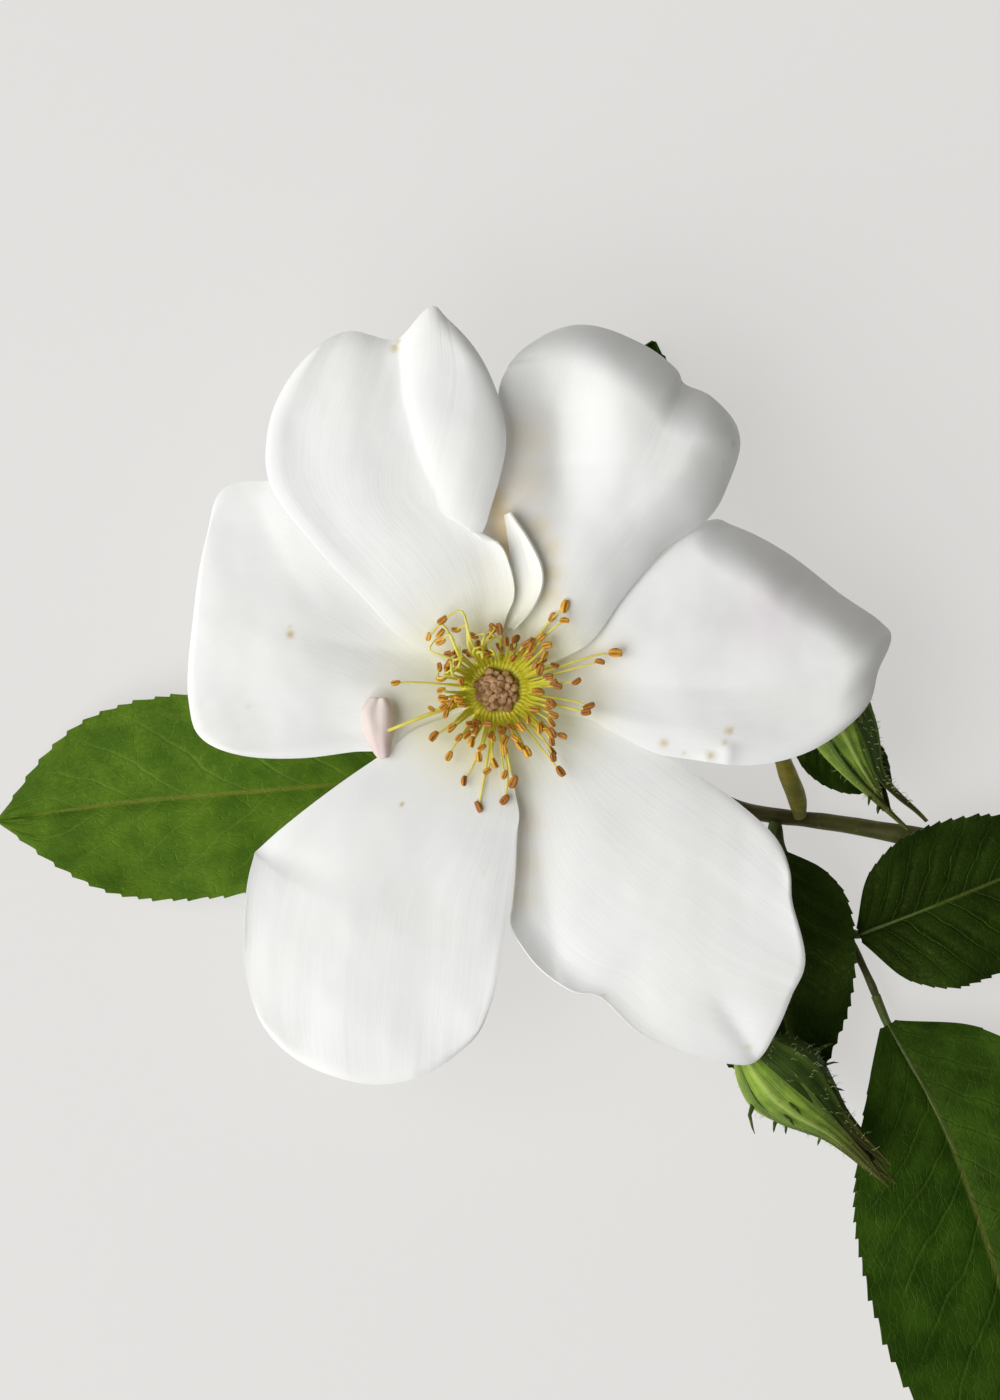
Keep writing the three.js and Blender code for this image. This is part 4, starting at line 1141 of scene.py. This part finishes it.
stemSettings = {
    "path": [(108, -26.2, 1.62), (91.2, -24.6, 1.55), (75, -22.3, 1.49), (62, -19.9, 1.42), (50.5, -17.9, 1.35),
             (41.3, -16.4, 1.35), (31.4, -15, 1.35), (24.5, -12, 1.35), (19, -9, 1.55)],
    "radii": [1.62, 1.5, 1.4, 1.35, 1.2, 1.02, .95, .95, 1.1],
    "cutSlant": .8, "cutFace": .4, "cutBand": .8, "clearance": .02, "swell": .16,
    "thorns": [(.05, 70), (.13, -60), (.2, 100)], "thornLength": 1.9, "thornSeat": 1.4,
}
flowerStalkSettings = {
    "path": [(18.7, -8.8, 1.6), (16, -7.5, 1.75), (9, -3.9, 3.2), (3.6, -1.5, 5), (.6, -.2, 8), (0, 0, 12.6),
             (0, 0, 17.2)],
    "radius": 1.12, "hipHeight": 9.2, "hipRadii": [1.15, 2.5, 3.5, 3.57, 3.0, 3.9],
}
rachisPath = [(34.6, -16.4, 1.6), (35.3, -19.6, 2.2), (37, -23.6, 2.9), (40.2, -27.6, 3), (43.6, -31, 3),
              (46, -35.6, 3.1), (47.4, -39, 3.2)]


def thornStrand(path, share, degrees, size, radius):  # a short curved point that leans back along the stem
    spot, heading = smooth(path, share), tangent(path, share)
    sideways = heading.cross(Vector((0, 0, 1))).normalized()
    upward = sideways.cross(heading)
    out = sideways * math.sin(math.radians(degrees)) + upward * math.cos(math.radians(degrees))
    foot = spot + out * radius * .8
    middlePoint = foot + out * size * .55 + heading * size * .1
    return [foot, middlePoint, foot + out * size + heading * size * .45], [.5, .28, .03]


def makeStem():
    s = stemSettings
    strand = strandAlong(s["path"], 150, lambda t: level(s["radii"], t))
    stem = newStrands("stemRod", [strand], stemMaterial, 6)
    roughen(stem, s["swell"], 3.5)
    cut = place(*s["path"][0])
    stem.data.materials.append(cutWood)
    for face in stem.data.polygons:
        if face.center.x > cut.x - s["cutFace"] * millimetre and face.normal.x > .7:
            face.material_index = 1
    for vertex in stem.data.vertices:
        if vertex.co.x > cut.x - s["cutBand"] * millimetre:
            vertex.co.x -= s["cutSlant"] * (vertex.co.z - cut.z)
        vertex.co.z = max(vertex.co.z, cadBox[0].z + s["clearance"] * millimetre)
    spikes = [thornStrand(s["path"], share, degrees, s["thornLength"], s["thornSeat"])
              for share, degrees in s["thorns"]]
    thorns = newStrands("thorns", spikes, thornMaterial, 2)
    handIn(joinPieces("stemWhole", [stem, thorns]), "stem", "stem")

    f = flowerStalkSettings
    spots = [smooth(f["path"], i / 90) for i in range(91)]
    lengths = [0.0]
    for a, b in zip(spots, spots[1:]):
        lengths.append(lengths[-1] + (b - a).length)
    radii = []
    for run in lengths:
        intoHip = 1 - (lengths[-1] - run) / f["hipHeight"]
        radii.append(f["radius"] if intoHip < 0 else level(f["hipRadii"], intoHip))
    stalk = newStrands("flowerStalk", [(spots, radii)], greenStalkMaterial, 8)
    roughen(stalk, .08, 2.2)
    handIn(stalk, "stalk", "flower_stalk")

    strand = strandAlong(rachisPath, 50, lambda t: .65 * (1 - .3 * t) * (1 + .1 * math.sin(t * 30)))
    rachis = newStrands("rachis", [strand], rachisMaterial, 4)
    handIn(rachis, "stalk", "leaf_right_rachis")
    print("stem done")


makeStem()

# Sepals under the open flower

flowerSepals = {
    "first": 20, "root": 4.3, "length": 16, "top": 16.45, "thickness": .34,
    "halfWidths": [1.35, 2.3, 2.7, 2.64, 2.35, 1.94, 1.5, 1.1, .76, .5, .2],
    "midrib": [(0, 0, 0), (0, .35, .6), (3, .7, 2.4), (5, 1, 5.2)],  # turn, share of the length, drop
}


def makeFlowerSepals():
    s = flowerSepals
    for index in range(5):
        angle = s["first"] + index * 72
        midrib = [polar(angle + turn, s["root"] + s["length"] * share, s["top"] - drop)
                  for turn, share, drop in s["midrib"]]

        def pointAt(across, along, midrib=midrib, seed=index * 3.1):
            point = bladePoint(midrib, (s["halfWidths"], s["halfWidths"]), across, along, -.12)
            side = abs(2 * across - 1)
            point.z -= .3 * math.exp(-(side / .12) ** 2)
            point.z += .12 * noise.noise(Vector((across * 5, along * 7, seed)))
            return point

        sepal = newSheet("flowerSepal%d" % (index + 1), 22, 60, pointAt, s["thickness"], [sepalLime])
        addValues(sepal, "shaded", lambda spot: .8 * ease(spot.xy.length, 15, 21))
        handIn(sepal, "sepal", "flower_sepal_%d" % (index + 1))
    print("flower sepals done")


makeFlowerSepals()

# Buds
# bend moves the sepals' tips off the bud's axis; hooks are the small leafy points on the sepals' edges, as
# [sepal turn in degrees, share of the body, how far out, how far on, curl].

# shade is the range of turns whose sepals take the darker copy: painted shade on the side turned from the light
budShapes = {
    "bud_1": {
        "radius": 3.7, "base": (39.3, 1.5, 15.2), "tip": (45.9, -12.4, 13.4), "spin": 10,
        "stalk": [(37.6, -15.6, 2.2), (37, -13, 4.2), (35.3, -8.8, 6.6), (33.6, -1.5, 10.4), (33.6, 4.4, 13.4),
                  (35.1, 7, 14.9)],
        "stalkRadii": [.8, 1.2, 1.05, .7, .6, .6, .7], "twig": budTwigMaterial,
        "shade": (120, 260), "reach": [1.34, 1.12, 1.4, 1.2, 1.16],
        "bend": [(2.1, .6, .5), (.5, .3, -.3), (2.9, 1.9, .6), (.2, .4, 0), (.3, .2, .2)],
        "hooks": [(40, 1.0, 1.4, .8, .3), (60, 1.12, 1.2, .4, .2), (200, .9, .8, .8, .3)],
    },
    "bud_2": {
        "radius": 4.7, "base": (30.9, -43.8, 12.2), "tip": (42.2, -53.9, 11), "spin": 62,
        "stalk": [(22.4, -11.2, 1.8), (21.6, -17, 4.4), (20.6, -23.5, 7.6), (21.4, -31, 10.4), (25.2, -37.6, 12)],
        "stalkRadii": [.9, .75, .7, .7, .7, .7], "twig": greenStalkMaterial,
        "shade": (100, 260), "reach": [1.44, 1.36, 1.3, 1.42, 1.28],
        "bend": [(.3, -1.4, .5), (.8, -.4, .2), (-.3, -.5, 0), (1.4, -1.6, -.2), (.2, -.2, .3)],
        "hooks": [(178, .42, 2.8, .2, .6), (165, .56, 2.6, -.6, 1.1), (170, .36, 1.4, .8, .2), (150, .64, 1.6, 1.4, .4),
                  (140, .5, .9, 2.4, .3), (155, .74, 1.2, 1.2, .2), (160, .86, 1.1, 1.0, .2), (125, .7, .7, 2.2, .2),
                  (10, .3, 2.6, 1.8, .9), (0, .52, 1.8, .8, .2), (-6, .6, 1.7, .9, .2), (2, .86, 2.1, .7, .1),
                  (20, .74, 1.3, .6, .1), (60, .95, 1.1, .9, .2), (70, .42, .5, 2.6, .2), (48, .46, .6, 2.4, .2)],
    },
}
budSettings = {
    "length": 15.5, "hipLength": 4.6, "hipRadii": [.7, 1.61, 2.3, 2.2, 1.84],
    "sweep": [.38, .76, .96, .9, .68, .42, .26, .15, .05], "spread": [44, 45, 44, 43, 41, 40, 40, 34, 6],
    "body": [.5, .86, 1, .98, .84, .62, .4, .22, .08], "coreShare": .84, "coreFrom": 1, "coreShort": .1,
    "sepalFrom": -.5, "sepalPast": .3, "sepalGap": .25, "hairs": 420, "thickness": .3,
}


def budAxes(shape):
    base = Vector(shape["base"])
    heading = (Vector(shape["tip"]) - base).normalized()
    right = heading.cross(Vector((0, 0, 1))).normalized()
    return base, heading, right, right.cross(heading)


def budSepalPoint(shape, number, across, along):
    s = budSettings
    base, heading, right, up = budAxes(shape)
    side = 2 * across - 1
    layer = .22 if number % 2 else .05  # alternate sepals lap over the ones between
    keel = .34 * math.exp(-(side / .16) ** 2)
    pleats = .09 * math.cos(side * 13) * ease(along, .1, .3)
    radius = shape["radius"] * level(s["sweep"], along) + s["sepalGap"] + layer + (keel + pleats) * (1 - .6 * along)
    angle = math.radians(shape["spin"] + number * 72 + side * level(s["spread"], along))
    reach = s["length"] * shape["reach"][number]
    point = base + heading * (s["sepalFrom"] + along * (reach + s["sepalPast"] - s["sepalFrom"]))
    point += (right * math.cos(angle) + up * math.sin(angle)) * radius
    point += Vector(shape["bend"][number]) * ease(along, .55, 1.15) * 1.3
    point += heading * .25 * noise.noise(Vector((angle * 3, along * 6, number)))
    return point


def hookStrand(shape, degrees, along, out, on, curl):
    s = budSettings
    base, heading, right, up = budAxes(shape)
    outward = right * math.cos(math.radians(degrees)) + up * math.sin(math.radians(degrees))
    depth = shape["radius"] * level(s["body"], min(along, 1)) + .1
    foot = base + heading * along * s["length"] + outward * depth
    bent = outward * out + heading * on
    points = [foot + bent * share + heading * curl * turn for share, turn in ((0, 0), (.5, -.4), (.85, .3), (1, .8))]
    return points, [.34, .24, .13, .03]


def hairStrand(shape, number, rng):
    base, heading = budAxes(shape)[:2]
    across, along = rng.uniform(.03, .97), rng.uniform(.02, .9)
    foot = budSepalPoint(shape, number, across, along)
    outward = (foot - base - heading * (foot - base).dot(heading)).normalized()
    length = rng.uniform(.4, 1.05)
    lean = heading * rng.uniform(-.2, .7) + Vector((rng.uniform(-.3, .3), rng.uniform(-.3, .3), 0))
    return [foot, foot + outward * length * .6, foot + (outward + lean).normalized() * length], [.035, .025, .008]


def makeBud(name, shape):
    s = budSettings
    base, heading, right, up = budAxes(shape)
    rng = random.Random(23 + len(shape["hooks"]))
    title = name.replace("_", "")

    hipFoot = base - heading * s["hipLength"]
    path = [*[Vector(p) for p in shape["stalk"]], hipFoot]
    spots = [smooth(path, i / 70) for i in range(71)]
    radii = [level(shape["stalkRadii"], i / 70) for i in range(71)]
    spots += [hipFoot.lerp(base, i / 16) for i in range(1, 17)]
    radii += [level(s["hipRadii"], i / 16) for i in range(1, 17)]
    stalk = newStrands(title + "Stalk", [(spots, radii)], shape["twig"], 5)
    roughen(stalk, .1, 2.0)
    handIn(stalk, "stalk", name + "_stalk")

    def coreAxis(along):
        return base + heading * (s["coreFrom"] + along * (s["length"] - s["coreFrom"] - s["coreShort"]))

    def corePoint(across, along):  # furled petals: a closed body whose sides wind round it
        angle = 2 * math.pi * across
        wound = 1 + .06 * ((across * 3 + along * 1.6) % 1)
        radius = shape["radius"] * s["coreShare"] * max(level(s["body"], along), 0) * wound
        return coreAxis(along) + (right * math.cos(angle) + up * math.sin(angle)) * radius

    core = newSolid(title + "Core", bpy.ops.mesh.primitive_uv_sphere_add, innerWhite,
                    segments=48, ring_count=40, radius=1)
    core.data.name = core.name
    for vertex in core.data.vertices:
        x, y, z = vertex.co
        across = (math.atan2(y, x) / (2 * math.pi)) % 1
        along = math.acos(max(-1, min(1, z))) / math.pi
        vertex.co = place(*(coreAxis(along) if abs(z) > .9999 else corePoint(across, along)))
    chooseOnly(core)
    bpy.ops.object.mode_set(mode="EDIT")
    bpy.ops.mesh.select_all(action="SELECT")
    bpy.ops.mesh.normals_make_consistent(inside=False)
    bpy.ops.object.mode_set(mode="OBJECT")
    smoothShading(core)
    handIn(core, "bud_core", name + "_core")

    for number in range(5):
        turned = (shape["spin"] + number * 72) % 360
        # sepals turned into the shade range take the darker, painted-shade copy
        dark = shape["shade"][0] < turned < shape["shade"][1]
        parts = [newSheet(title + "Sepal%d" % (number + 1), 22, 70,
                          lambda a, b, n=number: budSepalPoint(shape, n, a, b), s["thickness"],
                          [sepalPaintedShade if dark else sepalLime])]
        addValues(parts[0], "shaded", lambda spot: .85 * ease((spot - base).dot(heading) / s["length"], .7, 1.15))
        own = [row for row in shape["hooks"] if int(((row[0] - shape["spin"] + 36) % 360) // 72) == number]
        if own:
            hooks = [hookStrand(shape, *row) for row in own]
            # the hooks take the darker, painted-shade copy too
            parts.append(newStrands(title + "Hooks%d" % number, hooks, sepalPaintedShade, 1))
        hairs = [hairStrand(shape, number, rng) for _ in range(s["hairs"] // 5)]
        parts.append(newStrands(title + "Hairs%d" % number, hairs, hairMaterial, 0))
        handIn(joinPieces(title + "Sepal%d" % (number + 1), parts), "sepal", "%s_sepal_%d" % (name, number + 1))
    print(name, "done")


for budName, budShape in budShapes.items():
    makeBud(budName, budShape)
